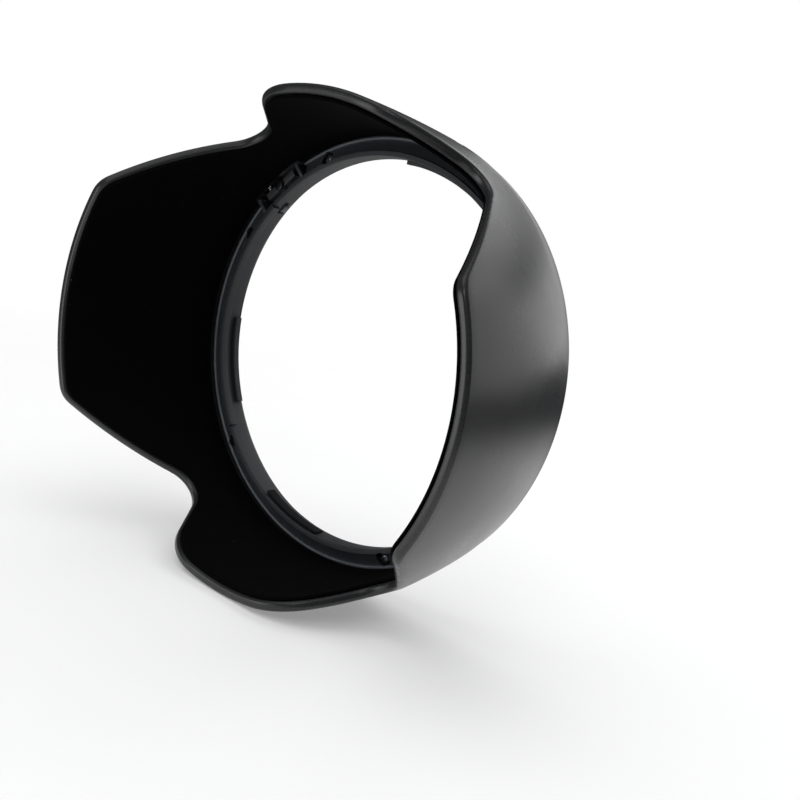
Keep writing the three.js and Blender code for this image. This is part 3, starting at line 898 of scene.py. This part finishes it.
class HOOD_OT_shell(bpy.types.Operator):
    """Builds the petal shell with its rounded rim, its collar and the pad round the button"""

    bl_idname = "hood.shell"
    bl_label = "Petal Shell"
    bl_options = {"REGISTER", "UNDO"}

    def execute(self, context):
        scene = context.scene
        petals = Petals(scene.hood_shell)
        lock = scene.hood_lock
        shell = grid("hood_shell", shell_rows(petals))
        combine(shell, [self.boss(petals, lock)], "UNION")
        holes = together("cuts", self.holes(petals))
        combine(shell, [holes, *lock_room(petals.sizes, lock)], "DIFFERENCE")
        self.mark_edges(shell, petals)
        smooth(shell, sharp=28)
        material = shell_plastic(scene.hood_colours)
        finish_piece(shell, material, "hood", ["petal_shell"])
        return {"FINISHED"}

    def boss(self, petals, lock):
        """The raised pad round the button, its top following the hood's curve."""
        at = lock_rows(lock)
        half = lock.boss_length / 2 / at["boss_top"]
        radii = (petals.base - petals.sizes.wall / 2, at["boss_top"])
        rows = around(at["middle"], lock.boss_depth / 2)
        span = around(LOCK_ANGLE, half)
        return sector("boss", *span, radii, rows, bevel=0.45 * MM, segments=40)

    def holes(self, petals):
        """Holes in the flange for the screws and the pin, and the recesses of the marks."""
        sizes = petals.sizes
        rows = (SHELL_HIGH.y - sizes.flange_thickness - SPARE, SHELL_HIGH.y + SPARE)
        circle = screw_circle()
        holes = [axial_hole("hole", 1.0 * MM, *rows, circle, a) for a in screw_angles()]
        pivot = lock_rows(bpy.context.scene.hood_lock)["pivot"]
        holes.append(axial_hole("hole", 0.95 * MM, *rows, pivot, LOCK_ANGLE))
        for angle in MARKS.values():
            height = mark_surface(petals, math.radians(angle))
            floor, wide = -0.7 * MM, 1.15 * MM
            profile = [(0, floor), (wide, floor), (wide, SPARE), (0, SPARE)]
            matrix = radial_matrix(math.radians(angle), height, MARK_Y)
            holes.append(turned("hole", profile, segments=40, matrix=matrix))
        return holes

    def mark_edges(self, shell, petals):
        """Stores how near each point is to the rim's outer edge, for the wear there."""
        mesh = shell.data
        co = np.zeros(len(mesh.vertices) * 3)
        mesh.vertices.foreach_get("co", co)
        co = co.reshape(-1, 3)
        edge = petals.row(petals.sizes.rim_round * 0.3, petals.sizes.rim_round * 0.3)
        worn = np.zeros(len(co))
        rearmost, batch, reach = -8 * MM, 2000, 0.5 * MM
        near = np.flatnonzero(co[:, 1] < rearmost)
        for part in np.array_split(near, max(1, len(near) // batch)):
            gaps = np.linalg.norm(co[part][:, None] - edge[None], axis=2).min(axis=1)
            worn[part] = np.exp(-((gaps / reach) ** 2))
        attribute = mesh.attributes.new("edge", "FLOAT", "POINT")
        attribute.data.foreach_set("value", worn.astype(np.float32))


# ---- Bayonet ring ---------------------------------------------------------------------------


def ring_section(s):
    """The ring's section as (radius, y): bore, sloping ledge, rounded lip and outer face."""
    outer, rear = RING_HIGH.x, RING_HIGH.y
    edge = 0.2 * MM
    lip = outer - s.lip_round
    lip_y = s.lip_round * 0.4
    front = -s.ledge_rise
    section = arc(outer - edge, rear - edge, edge, 0, 90, 3)
    section += arc(s.bore + edge, rear - edge, edge, 90, 180, 3)
    section += arc(s.bore + 0.3 * MM, front + 0.3 * MM, 0.3 * MM, 180, 270, 6)
    section += arc(s.bore + 0.95 * MM, front + 0.15 * MM, 0.15 * MM, 270, 340, 3)
    slope = (s.bore + 1.42 * MM, front + 0.50 * MM)
    section += [(s.bore + 1.22 * MM, front + 0.38 * MM), slope]
    foot = Vector((lip - s.lip_round - 0.12 * MM, lip_y + 0.02 * MM))
    section += [tuple(Vector(slope).lerp(foot, i / 6)) for i in range(1, 6)]
    section += arc(lip, lip_y, s.lip_round, 180, 360, 14)
    return section


class HOOD_OT_ring(bpy.types.Operator):
    """Builds the bayonet ring with its ledge, lugs, rail, lock window and screw recesses"""

    bl_idname = "hood.ring"
    bl_label = "Bayonet Ring"
    bl_options = {"REGISTER", "UNDO"}

    def execute(self, context):
        scene = context.scene
        sizes = scene.hood_ring
        angles = np.arange(sizes.segments) * 2 * math.pi / sizes.segments
        section = ring_section(sizes)
        points = np.array([ring_row(angles, radius, y) for radius, y in section])
        ring = grid("bayonet_ring_body", points)
        combine(ring, [together("added", self.lugs(sizes) + [self.rail(sizes)])], "UNION")
        combine(ring, [self.window(sizes), together("cuts", self.recesses())], "DIFFERENCE")
        combine(ring, self.posts(sizes), "UNION")
        combine(ring, [self.slot(sizes, scene.hood_lock)], "DIFFERENCE")
        smooth(ring, sharp=32)
        material = ring_plastic(scene.hood_colours)
        finish_piece(ring, material, "hood", ["bayonet_ring"])
        return {"FINISHED"}

    def lugs(self, s):
        """The three lugs that turn behind the lens's flange."""
        rear = RING_HIGH.y
        lugs = []
        for offset in LUG_OFFSETS:
            middle = LOCK_ANGLE + math.radians(offset)
            span = around(middle, s.lug_span / 2)
            radii = (s.bore - s.lug_height, s.bore + 0.4 * MM)
            rows = (rear - s.lug_thickness, rear)
            lugs.append(sector("lug", *span, radii, rows, bevel=0.12 * MM))
        return lugs

    def rail(self, s):
        """A thin lip on the inner edge of the ledge that guides the lens in."""
        span = (LOCK_ANGLE + s.rail_start, LOCK_ANGLE + s.rail_end)
        radii = (s.bore - s.rail_height, s.bore + 0.5 * MM)
        rows = (RING_LOW.y, -0.2 * MM)
        return sector("rail", *span, radii, rows, bevel=0.16 * MM, segments=110)

    def window(self, s):
        """The break in the ledge in front of the lever."""
        rows = (RING_LOW.y - SPARE, RING_HIGH.y + SPARE)
        heights = (s.bore + 0.8 * MM, RING_HIGH.x + SPARE)
        return block("window", around(0, s.window / 2), rows, heights, bevel=0.2 * MM)

    def posts(self, s):
        """The two ribs that stand at the ends of the window."""
        half = s.window / 2
        rows = (-s.ledge_rise - 0.3 * MM, RING_HIGH.y)
        heights = (s.bore + 0.3 * MM, RING_HIGH.x - 0.7 * MM)
        near, far = half - 1.5 * MM, half - 0.6 * MM
        spans = ((-far, -near), (near, far))
        return [block("post", span, rows, heights, bevel=0.15 * MM) for span in spans]

    def slot(self, s, lock):
        """The slot that the claw drops through."""
        at = lock_rows(lock)
        rear = LEVER_HIGH.y
        span = around(at["claw_side"], lock.claw_width / 2 + 0.72 * MM)
        rows = (rear - lock.claw_depth - 0.3 * MM, rear + 3 * MM)
        heights = (s.bore - SPARE, s.bore + 3 * MM)
        return block("slot", span, rows, heights, bevel=0.1 * MM)

    def recesses(self):
        """Stepped holes for the screws."""
        shank, head = 1 * MM, 1.5 * MM
        floor, top, rear = -0.7 * MM, 6 * MM, -RING_HIGH.y - SPARE
        profile = [(0, rear), (shank, rear), (shank, floor), (head, floor), (head, top), (0, top)]
        places = [axial_matrix(screw_circle(), angle) for angle in screw_angles()]
        return [turned("recess", profile, segments=40, matrix=place) for place in places]


# ---- Flocked lining and felt ----------------------------------------------------------------


class HOOD_OT_lining(bpy.types.Operator):
    """Builds the four pieces of flocked lining, one behind each petal"""

    bl_idname = "hood.lining"
    bl_label = "Flocked Lining"
    bl_options = {"REGISTER", "UNDO"}

    def execute(self, context):
        scene = context.scene
        petals = Petals(scene.hood_shell)
        sizes = scene.hood_lining
        flock = scene.hood_colours.flock
        material = flock_finish("black_flock", flock, fibre=0.11 * MM, sheen=0.004)
        notch = petals.sizes.notch_angle
        pieces = {
            "lining_right": (-notch, notch),
            "lining_top": (notch, math.pi - notch),
            "lining_left": (math.pi - notch, math.pi + notch),
            "lining_bottom": (math.pi + notch, 2 * math.pi - notch),
        }
        for node, (start, end) in pieces.items():
            piece = self.petal_lining(petals, sizes, node, start, end)
            if start < LOCK_ANGLE < end:
                combine(piece, [self.lock_relief(petals, sizes, scene.hood_ring)], "DIFFERENCE")
            smooth(piece, sharp=40)
            finish_piece(piece, material, "hood", [node])
        return {"FINISHED"}

    def lock_relief(self, petals, sizes, ring):
        """The corner cut out of the lining in front of the lock window."""
        half = ring.window / 2 + sizes.gap
        front = -ring.ledge_rise - 0.8 * MM
        heights = (petals.base - petals.sizes.wall - 4 * MM, petals.base)
        return block("relief", around(0, half), (front, SPARE), heights, bevel=0.4 * MM)

    def petal_lining(self, petals, sizes, node, start, end):
        """One die-cut piece: its front follows the rim and its ends meet its neighbours'."""
        wall = petals.sizes.wall
        seam = sizes.seam / petals.arc / 2
        back = wall + sizes.gap
        face = back + sizes.thickness
        edge = sizes.edge_round
        settled = 2.0 * MM  # how far from the rim the rows stop following it
        shares = [i / 12 for i in range(13)]
        rows = []
        for angle in np.radians(np.linspace(0, 90, 4)):
            distance = sizes.margin + edge * (1 - math.sin(angle))
            rows.append(petals.row(distance, face - edge * (1 - math.cos(angle))))
        rows = [petals.row(sizes.margin, back), *reversed(rows)]
        rows += petals.between(settled, -sizes.start, face, shares)
        rows += petals.between(settled, -sizes.start, back, reversed(shares))
        points = cut_columns(np.array(rows), petals.angles, start + seam, end - seam)
        return grid(f"{node}_flock", points, close_columns=False)


def cut_columns(points, angles, start, end):
    """The columns of points between two angles, cut off exactly at each of them."""
    turns = np.concatenate([angles - 2 * math.pi, angles])
    twice = np.concatenate([points, points], axis=1)
    inside = np.flatnonzero((turns > start) & (turns < end))

    def at(angle, before):
        part = (angle - turns[before]) / (turns[before + 1] - turns[before])
        return (twice[:, before] * (1 - part) + twice[:, before + 1] * part)[:, None]

    first, last = at(start, inside[0] - 1), at(end, inside[-1])
    return np.concatenate([first, twice[:, inside], last], axis=1)


class HOOD_OT_felt(bpy.types.Operator):
    """Builds the two felt pads in the bore"""

    bl_idname = "hood.felt"
    bl_label = "Felt Pads"
    bl_options = {"REGISTER", "UNDO"}

    def execute(self, context):
        scene = context.scene
        felt = scene.hood_colours.felt
        material = flock_finish("pressed_felt", felt, fibre=0.14 * MM, sheen=0.03)
        outer = scene.hood_ring.bore - 0.25 * MM
        radii = (outer - 0.45 * MM, outer)
        for node, offset in (("felt_pad_1", 120), ("felt_pad_2", -120)):
            low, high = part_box(node)
            middle = LOCK_ANGLE + math.radians(offset)
            span = around(middle, math.radians(12))
            rows = (low.y, high.y)
            pad = sector(f"{node}_felt", *span, radii, rows, bevel=0.14 * MM, segments=60)
            smooth(pad, sharp=50)
            finish_piece(pad, material, "hood", [node])
        return {"FINISHED"}


# ---- Lock -----------------------------------------------------------------------------------


class HOOD_OT_lever(bpy.types.Operator):
    """Builds the seesaw lever with its hub, its claw and the nub that centres the spring"""

    bl_idname = "hood.lever"
    bl_label = "Lock Lever"
    bl_options = {"REGISTER", "UNDO"}

    def execute(self, context):
        lock = context.scene.hood_lock
        at = lock_rows(lock)
        rows = (LEVER_LOW.y, LEVER_HIGH.y)
        half = lock.lever_width / 2
        top = at["lever_top"]
        heights = (top - lock.lever_thickness, top)
        bar = block("lock_lever_body", around(0, half), rows, heights, bevel=0.18 * MM)
        hub_radius = lock.lever_thickness / 2 + 0.35 * MM
        inset = 0.02 * MM
        hub_rows = (rows[0] + inset, rows[1] - inset)
        hub = axial_hole("hub", hub_radius, *hub_rows, at["pivot"], LOCK_ANGLE)
        claw = block(
            "claw",
            (-half + inset, -half + lock.claw_width),
            (rows[1] - lock.claw_depth, rows[1] - 0.03 * MM),
            (context.scene.hood_ring.bore - 0.55 * MM, top - 0.3 * MM),
            bevel=0.22 * MM,
        )
        foot, shoulder, tip, wide, narrow = -0.4 * MM, 0.45 * MM, 0.6 * MM, 0.52 * MM, 0.4 * MM
        profile = [(0, foot), (wide, foot), (wide, shoulder), (narrow, tip), (0, tip)]
        place = LOCK_TURN @ Matrix.Translation((at["claw_side"], at["middle"], top))
        nub = turned("nub", profile, segments=32, matrix=place)
        combine(bar, [hub, claw, nub], "UNION")
        bore = lock.pin_radius + 0.06 * MM
        hole = axial_hole("hole", bore, rows[0] - MM, rows[1] + MM, at["pivot"], LOCK_ANGLE)
        combine(bar, [hole], "DIFFERENCE")
        smooth(bar, sharp=30)
        material = lock_plastic(context.scene.hood_colours)
        finish_piece(bar, material, "lever", ["lock_lever"])
        return {"FINISHED"}


class HOOD_OT_button(bpy.types.Operator):
    """Builds the push button with its ridged top, its hidden skirt and its foot"""

    bl_idname = "hood.button"
    bl_label = "Lock Button"
    bl_options = {"REGISTER", "UNDO"}

    def execute(self, context):
        lock = context.scene.hood_lock
        at = lock_rows(lock)
        low = at["foot"] + 0.5 * MM
        across = around(at["button_side"], lock.button_width / 2)
        along = around(at["middle"], lock.button_depth / 2)
        heights = (low, at["button_top"])
        cap = block("lock_button_cap", across, along, heights, bevel=0.38 * MM, segments=4)
        flange = lock.button_flange
        skirt = block(
            "skirt",
            (across[0] - flange, across[1] + flange),
            (along[0] - flange, min(along[1] + flange, LEVER_HIGH.y + 0.5 * MM)),
            (at["flange_top"] - flange, at["flange_top"]),
            bevel=0.08 * MM,
        )
        foot = block(
            "foot",
            around(at["button_side"], 0.4 * MM),
            around(at["middle"], 1.2 * MM),
            (at["foot"], at["flange_top"] - 0.1 * MM),
            bevel=0.1 * MM,
        )
        combine(cap, [skirt, foot], "UNION")
        grooves = []
        for place in (-1, 0, 1):
            middle = at["button_side"] + place * lock.button_width / 5
            rows = around(at["middle"], lock.button_depth / 2 - 0.6 * MM)
            heights = (at["button_top"] - 0.28 * MM, at["button_top"] + SPARE)
            width = around(middle, 0.2 * MM)
            grooves.append(block("groove", width, rows, heights, bevel=0.12 * MM))
        combine(cap, [together("grooves", grooves)], "DIFFERENCE")
        smooth(cap, sharp=30)
        material = lock_plastic(context.scene.hood_colours)
        finish_piece(cap, material, "button", ["lock_button"])
        return {"FINISHED"}


class HOOD_OT_pin(bpy.types.Operator):
    """Builds the headed pivot pin"""

    bl_idname = "hood.pin"
    bl_label = "Pivot Pin"
    bl_options = {"REGISTER", "UNDO"}

    def execute(self, context):
        lock = context.scene.hood_lock
        low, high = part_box("pivot_pin")
        head = low.y + 0.6 * MM
        r, edge = lock.pin_radius, 0.08 * MM
        wide = r + 0.45 * MM
        profile = [(0, -low.y), (wide * 0.6, -low.y), (wide - edge, -low.y - edge)]
        profile += [(wide, -low.y - 2 * edge), (wide, -head + edge), (wide - edge, -head), (r, -head)]
        profile += [(r, -high.y + 2 * edge), (r - 2 * edge, -high.y), (0, -high.y)]
        matrix = axial_matrix(lock_rows(lock)["pivot"], LOCK_ANGLE)
        pin = turned("pivot_pin_steel", profile, segments=48, matrix=matrix)
        smooth(pin, sharp=30)
        colours = context.scene.hood_colours
        material = metal_finish("blackened_pin", colours.oxide, roughness=0.30, patchy=0.25)
        finish_piece(pin, material, "hood", ["pivot_pin"])
        return {"FINISHED"}


class HOOD_OT_spring(bpy.types.Operator):
    """Builds the coil spring, with its end turns laid flat"""

    bl_idname = "hood.spring"
    bl_label = "Return Spring"
    bl_options = {"REGISTER", "UNDO"}

    def execute(self, context):
        lock = context.scene.hood_lock
        at = lock_rows(lock)
        low = at["spring_foot"] + lock.wire
        high = at["spring_head"] - lock.wire
        turns = lock.turns + 1
        steps = turns * 36
        sides = 12
        flat = 0.12  # share of the wire's length that each flat end takes
        up = Vector((0, 0, 1))
        points = []
        for i in range(steps + 1):
            part = i / steps
            rise = min(max((part - flat) / (1 - 2 * flat), 0), 1)
            rise = rise + (part - 0.5) * 0.02 * math.sin(math.pi * part)
            angle = part * turns * 2 * math.pi
            outward = Vector((math.cos(angle), math.sin(angle), 0))
            middle = outward * lock.spring_radius
            height = low + (high - low) * min(max(rise, 0), 1)
            ring = []
            for k in range(sides):
                turn = k * math.pi / 6
                offset = outward * math.cos(turn) + up * math.sin(turn)
                ring.append(tuple(middle + offset * lock.wire + Vector((0, 0, height))))
            points.append(ring)
        columns = np.array(points).transpose(1, 0, 2)
        spring = grid("return_spring", columns, close_columns=False)
        place = LOCK_TURN @ Matrix.Translation((at["claw_side"], at["middle"], 0))
        spring.data.transform(place)
        smooth(spring, sharp=45)
        colours = context.scene.hood_colours
        material = metal_finish("spring_wire", colours.steel, roughness=0.2, patchy=0.08)
        finish_piece(spring, material, "hood", ["latch_spring"])
        lift = -at["claw_side"] * math.sin(LEVER_SWING)
        keep = 1 - lift / (at["spring_head"] - at["spring_foot"])
        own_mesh(spring)
        return {"FINISHED"}


# ---- Screws and marks -----------------------------------------------------------------------


class HOOD_OT_screws(bpy.types.Operator):
    """Builds the six cross-head screws that hold the ring to the shell's flange"""

    bl_idname = "hood.screws"
    bl_label = "Ring Screws"
    bl_options = {"REGISTER", "UNDO"}

    def execute(self, context):
        oxide = context.scene.hood_colours.oxide
        material = metal_finish("black_oxide", oxide, roughness=0.34, patchy=0.35)
        circle = screw_circle()
        for i, angle in enumerate(screw_angles()):
            node = f"ring_screw_{i + 1}"
            screw = self.screw(node, circle, angle)
            smooth(screw, sharp=30)
            finish_piece(screw, material, "hood", [node])
        return {"FINISHED"}

    def screw(self, node, circle, angle):
        """A domed head with a cross recess, on a threaded shank."""
        low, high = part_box(node)
        head, crest = 1.25 * MM, 0.75 * MM
        top, under, tip = -low.y, -low.y - 0.8 * MM, -high.y
        profile = [(0, top), (head * 0.5, top - 0.03 * MM), (head * 0.8, top - 0.12 * MM)]
        profile += [(head, top - 0.3 * MM), (head, under), (crest, under)]
        pitch = 0.45 * MM
        place = under - 0.5 * pitch
        while place - pitch > tip + 0.1 * MM:
            profile += [(crest * 0.8, place), (crest, place - pitch / 2)]
            place -= pitch
        profile += [(crest * 0.8, place), (crest * 0.55, tip), (0, tip)]
        matrix = axial_matrix(circle, angle)
        screw = turned(f"{node}_steel", profile, segments=40, matrix=matrix)
        twist = Matrix.Rotation(0.7 * angle, 4, "Z")
        length, width = around(0, 0.8 * MM), around(0, 0.15 * MM)
        heights = (top - 0.42 * MM, top + MM)
        arms = []
        for quarter in (0, math.pi / 2):
            spin = matrix @ twist @ Matrix.Rotation(quarter, 4, "Z")
            arms.append(block("arm", length, width, heights, matrix=spin))
        combine(screw, arms, "DIFFERENCE")
        return screw


def mark_surface(petals, angle):
    """Radius of the shell's outer face at an index mark."""
    return float(petals.base + petals.spread(np.array(angle), np.array(MARK_Y)))


class HOOD_OT_marks(bpy.types.Operator):
    """Builds the two white index marks that line up with the lens"""

    bl_idname = "hood.marks"
    bl_label = "Index Marks"
    bl_options = {"REGISTER", "UNDO"}

    def execute(self, context):
        scene = context.scene
        petals = Petals(scene.hood_shell)
        material = inlay_finish(scene.hood_colours)
        for node, degrees_round in MARKS.items():
            angle = math.radians(degrees_round)
            top = mark_surface(petals, angle) - 0.04 * MM
            r, edge, depth = 1.08 * MM, 0.1 * MM, 0.5 * MM
            profile = [(0, 0), (r * 0.6, -0.01 * MM), (r - edge, -0.03 * MM)]
            profile += [(r, -edge), (r, -depth), (0, -depth)]
            place = radial_matrix(angle, top, MARK_Y)
            mark = turned(f"{node}_inlay", profile, segments=48, matrix=place)
            smooth(mark, sharp=30)
            finish_piece(mark, material, "hood", [node])
        return {"FINISHED"}


# ---- Stage ----------------------------------------------------------------------------------


class HOOD_OT_stage(bpy.types.Operator):
    """Sets the floor, the soft studio light and the camera"""

    bl_idname = "hood.stage"
    bl_label = "Stage"
    bl_options = {"REGISTER", "UNDO"}

    def execute(self, context):
        scene = context.scene
        settings = scene.hood_stage
        self.floor(scene, settings)
        self.surroundings(scene, settings)
        for name, setting, direction, distance, size in SOFTBOXES:
            lamp = self.softbox(name, direction, distance, size, getattr(settings, setting))
            lamp.visible_glossy = name != "fill"
        self.camera(scene, settings)
        scene.view_settings.view_transform = "Standard"
        return {"FINISHED"}

    def floor(self, scene, settings):
        half = settings.floor_far * 1.02
        level = CAD_BOX[0][2]
        sides = ((-half, -half), (half, -half), (half, half), (-half, half))
        floor = new_object("floor", [(x, y, level) for x, y in sides], [(0, 1, 2, 3)])
        finish = floor_finish(scene.hood_colours, settings.floor_near, settings.floor_far)
        floor.data.materials.append(finish)

    def surroundings(self, scene, settings):
        """White behind everything that the camera sees, and a dimmer room for light and gloss."""
        world = bpy.data.worlds.new("studio")
        world.use_nodes = True
        tree = world.node_tree
        tree.nodes.clear()
        room = tree.nodes.new("ShaderNodeBackground")
        room.inputs["Color"].default_value = (0.93, 0.96, 1, 1)
        room.inputs["Strength"].default_value = settings.ambient
        white = tree.nodes.new("ShaderNodeBackground")
        white.inputs["Color"].default_value = (1, 1, 1, 1)
        path = tree.nodes.new("ShaderNodeLightPath")
        mixed = tree.nodes.new("ShaderNodeMixShader")
        output = tree.nodes.new("ShaderNodeOutputWorld")
        tree.links.new(path.outputs["Is Camera Ray"], mixed.inputs[0])
        tree.links.new(room.outputs[0], mixed.inputs[1])
        tree.links.new(white.outputs[0], mixed.inputs[2])
        tree.links.new(mixed.outputs[0], output.inputs["Surface"])
        scene.world = world

    def softbox(self, name, direction, distance, size, radiance):
        """A rectangular light that faces the hood; radiance is how bright it looks."""
        data = bpy.data.lights.new(name, "AREA")
        data.shape = "RECTANGLE"
        data.size, data.size_y = size
        data.energy = radiance * math.pi * size[0] * size[1]
        lamp = bpy.data.objects.new(name, data)
        towards = Vector(direction).normalized()
        lamp.location = HOOD_MIDDLE + towards * distance
        lamp.rotation_mode = "QUATERNION"
        lamp.rotation_quaternion = towards.to_track_quat("Z", "Y")
        lamp.visible_camera = False
        bpy.context.scene.collection.objects.link(lamp)
        return lamp

    def camera(self, scene, settings):
        azimuth, elevation, roll = settings.azimuth, settings.elevation, settings.roll
        back = Vector(
            (
                math.sin(azimuth) * math.cos(elevation),
                -math.cos(azimuth) * math.cos(elevation),
                math.sin(elevation),
            )
        )
        data = bpy.data.cameras.new("camera")
        data.lens = settings.lens
        data.sensor_width = 36
        data.clip_start = 0.01
        camera = bpy.data.objects.new("camera", data)
        camera.location = Vector(settings.target) + back * settings.distance
        level = (-back).to_track_quat("-Z", "Y").to_matrix().to_4x4()
        camera.rotation_mode = "QUATERNION"
        camera.rotation_quaternion = (level @ Matrix.Rotation(-roll, 4, "Z")).to_quaternion()
        scene.collection.objects.link(camera)
        scene.camera = camera


# ---- Panel and registration -----------------------------------------------------------------


class HOOD_PT_panel(bpy.types.Panel):
    """Lists the steps that build the hood, and their sizes"""

    bl_label = "Petal Lens Hood"
    bl_idname = "HOOD_PT_panel"
    bl_space_type = "VIEW_3D"
    bl_region_type = "UI"
    bl_category = "Hood"

    def draw(self, context):
        layout = self.layout
        for operator in OPERATORS:
            layout.operator(operator.bl_idname)
        for name, group in GROUPS.items():
            box = layout.box()
            box.label(text=group.__doc__)
            for size in group.__annotations__:
                box.prop(getattr(context.scene, name), size)


OPERATORS = (
    HOOD_OT_shell,
    HOOD_OT_ring,
    HOOD_OT_lining,
    HOOD_OT_felt,
    HOOD_OT_lever,
    HOOD_OT_button,
    HOOD_OT_pin,
    HOOD_OT_spring,
    HOOD_OT_screws,
    HOOD_OT_marks,
    HOOD_OT_stage,
)

GROUPS = {
    "hood_shell": ShellSizes,
    "hood_ring": RingSizes,
    "hood_lining": LiningSizes,
    "hood_lock": LockSizes,
    "hood_colours": FinishColours,
    "hood_stage": StageSettings,
}


def register():
    for group in GROUPS.values():
        bpy.utils.register_class(group)
    for operator in OPERATORS:
        bpy.utils.register_class(operator)
    bpy.utils.register_class(HOOD_PT_panel)
    for name, group in GROUPS.items():
        setattr(bpy.types.Scene, name, PointerProperty(type=group))


def unregister():
    for name in GROUPS:
        delattr(bpy.types.Scene, name)
    bpy.utils.unregister_class(HOOD_PT_panel)
    for operator in reversed(OPERATORS):
        bpy.utils.unregister_class(operator)
    for group in GROUPS.values():
        bpy.utils.unregister_class(group)


def main():
    """Builds every piece and the stage."""
    register()
    for operator in OPERATORS:
        getattr(bpy.ops.hood, operator.bl_idname.split(".")[1])()
    bpy.context.view_layer.update()


if __name__ == "__main__":
    main()
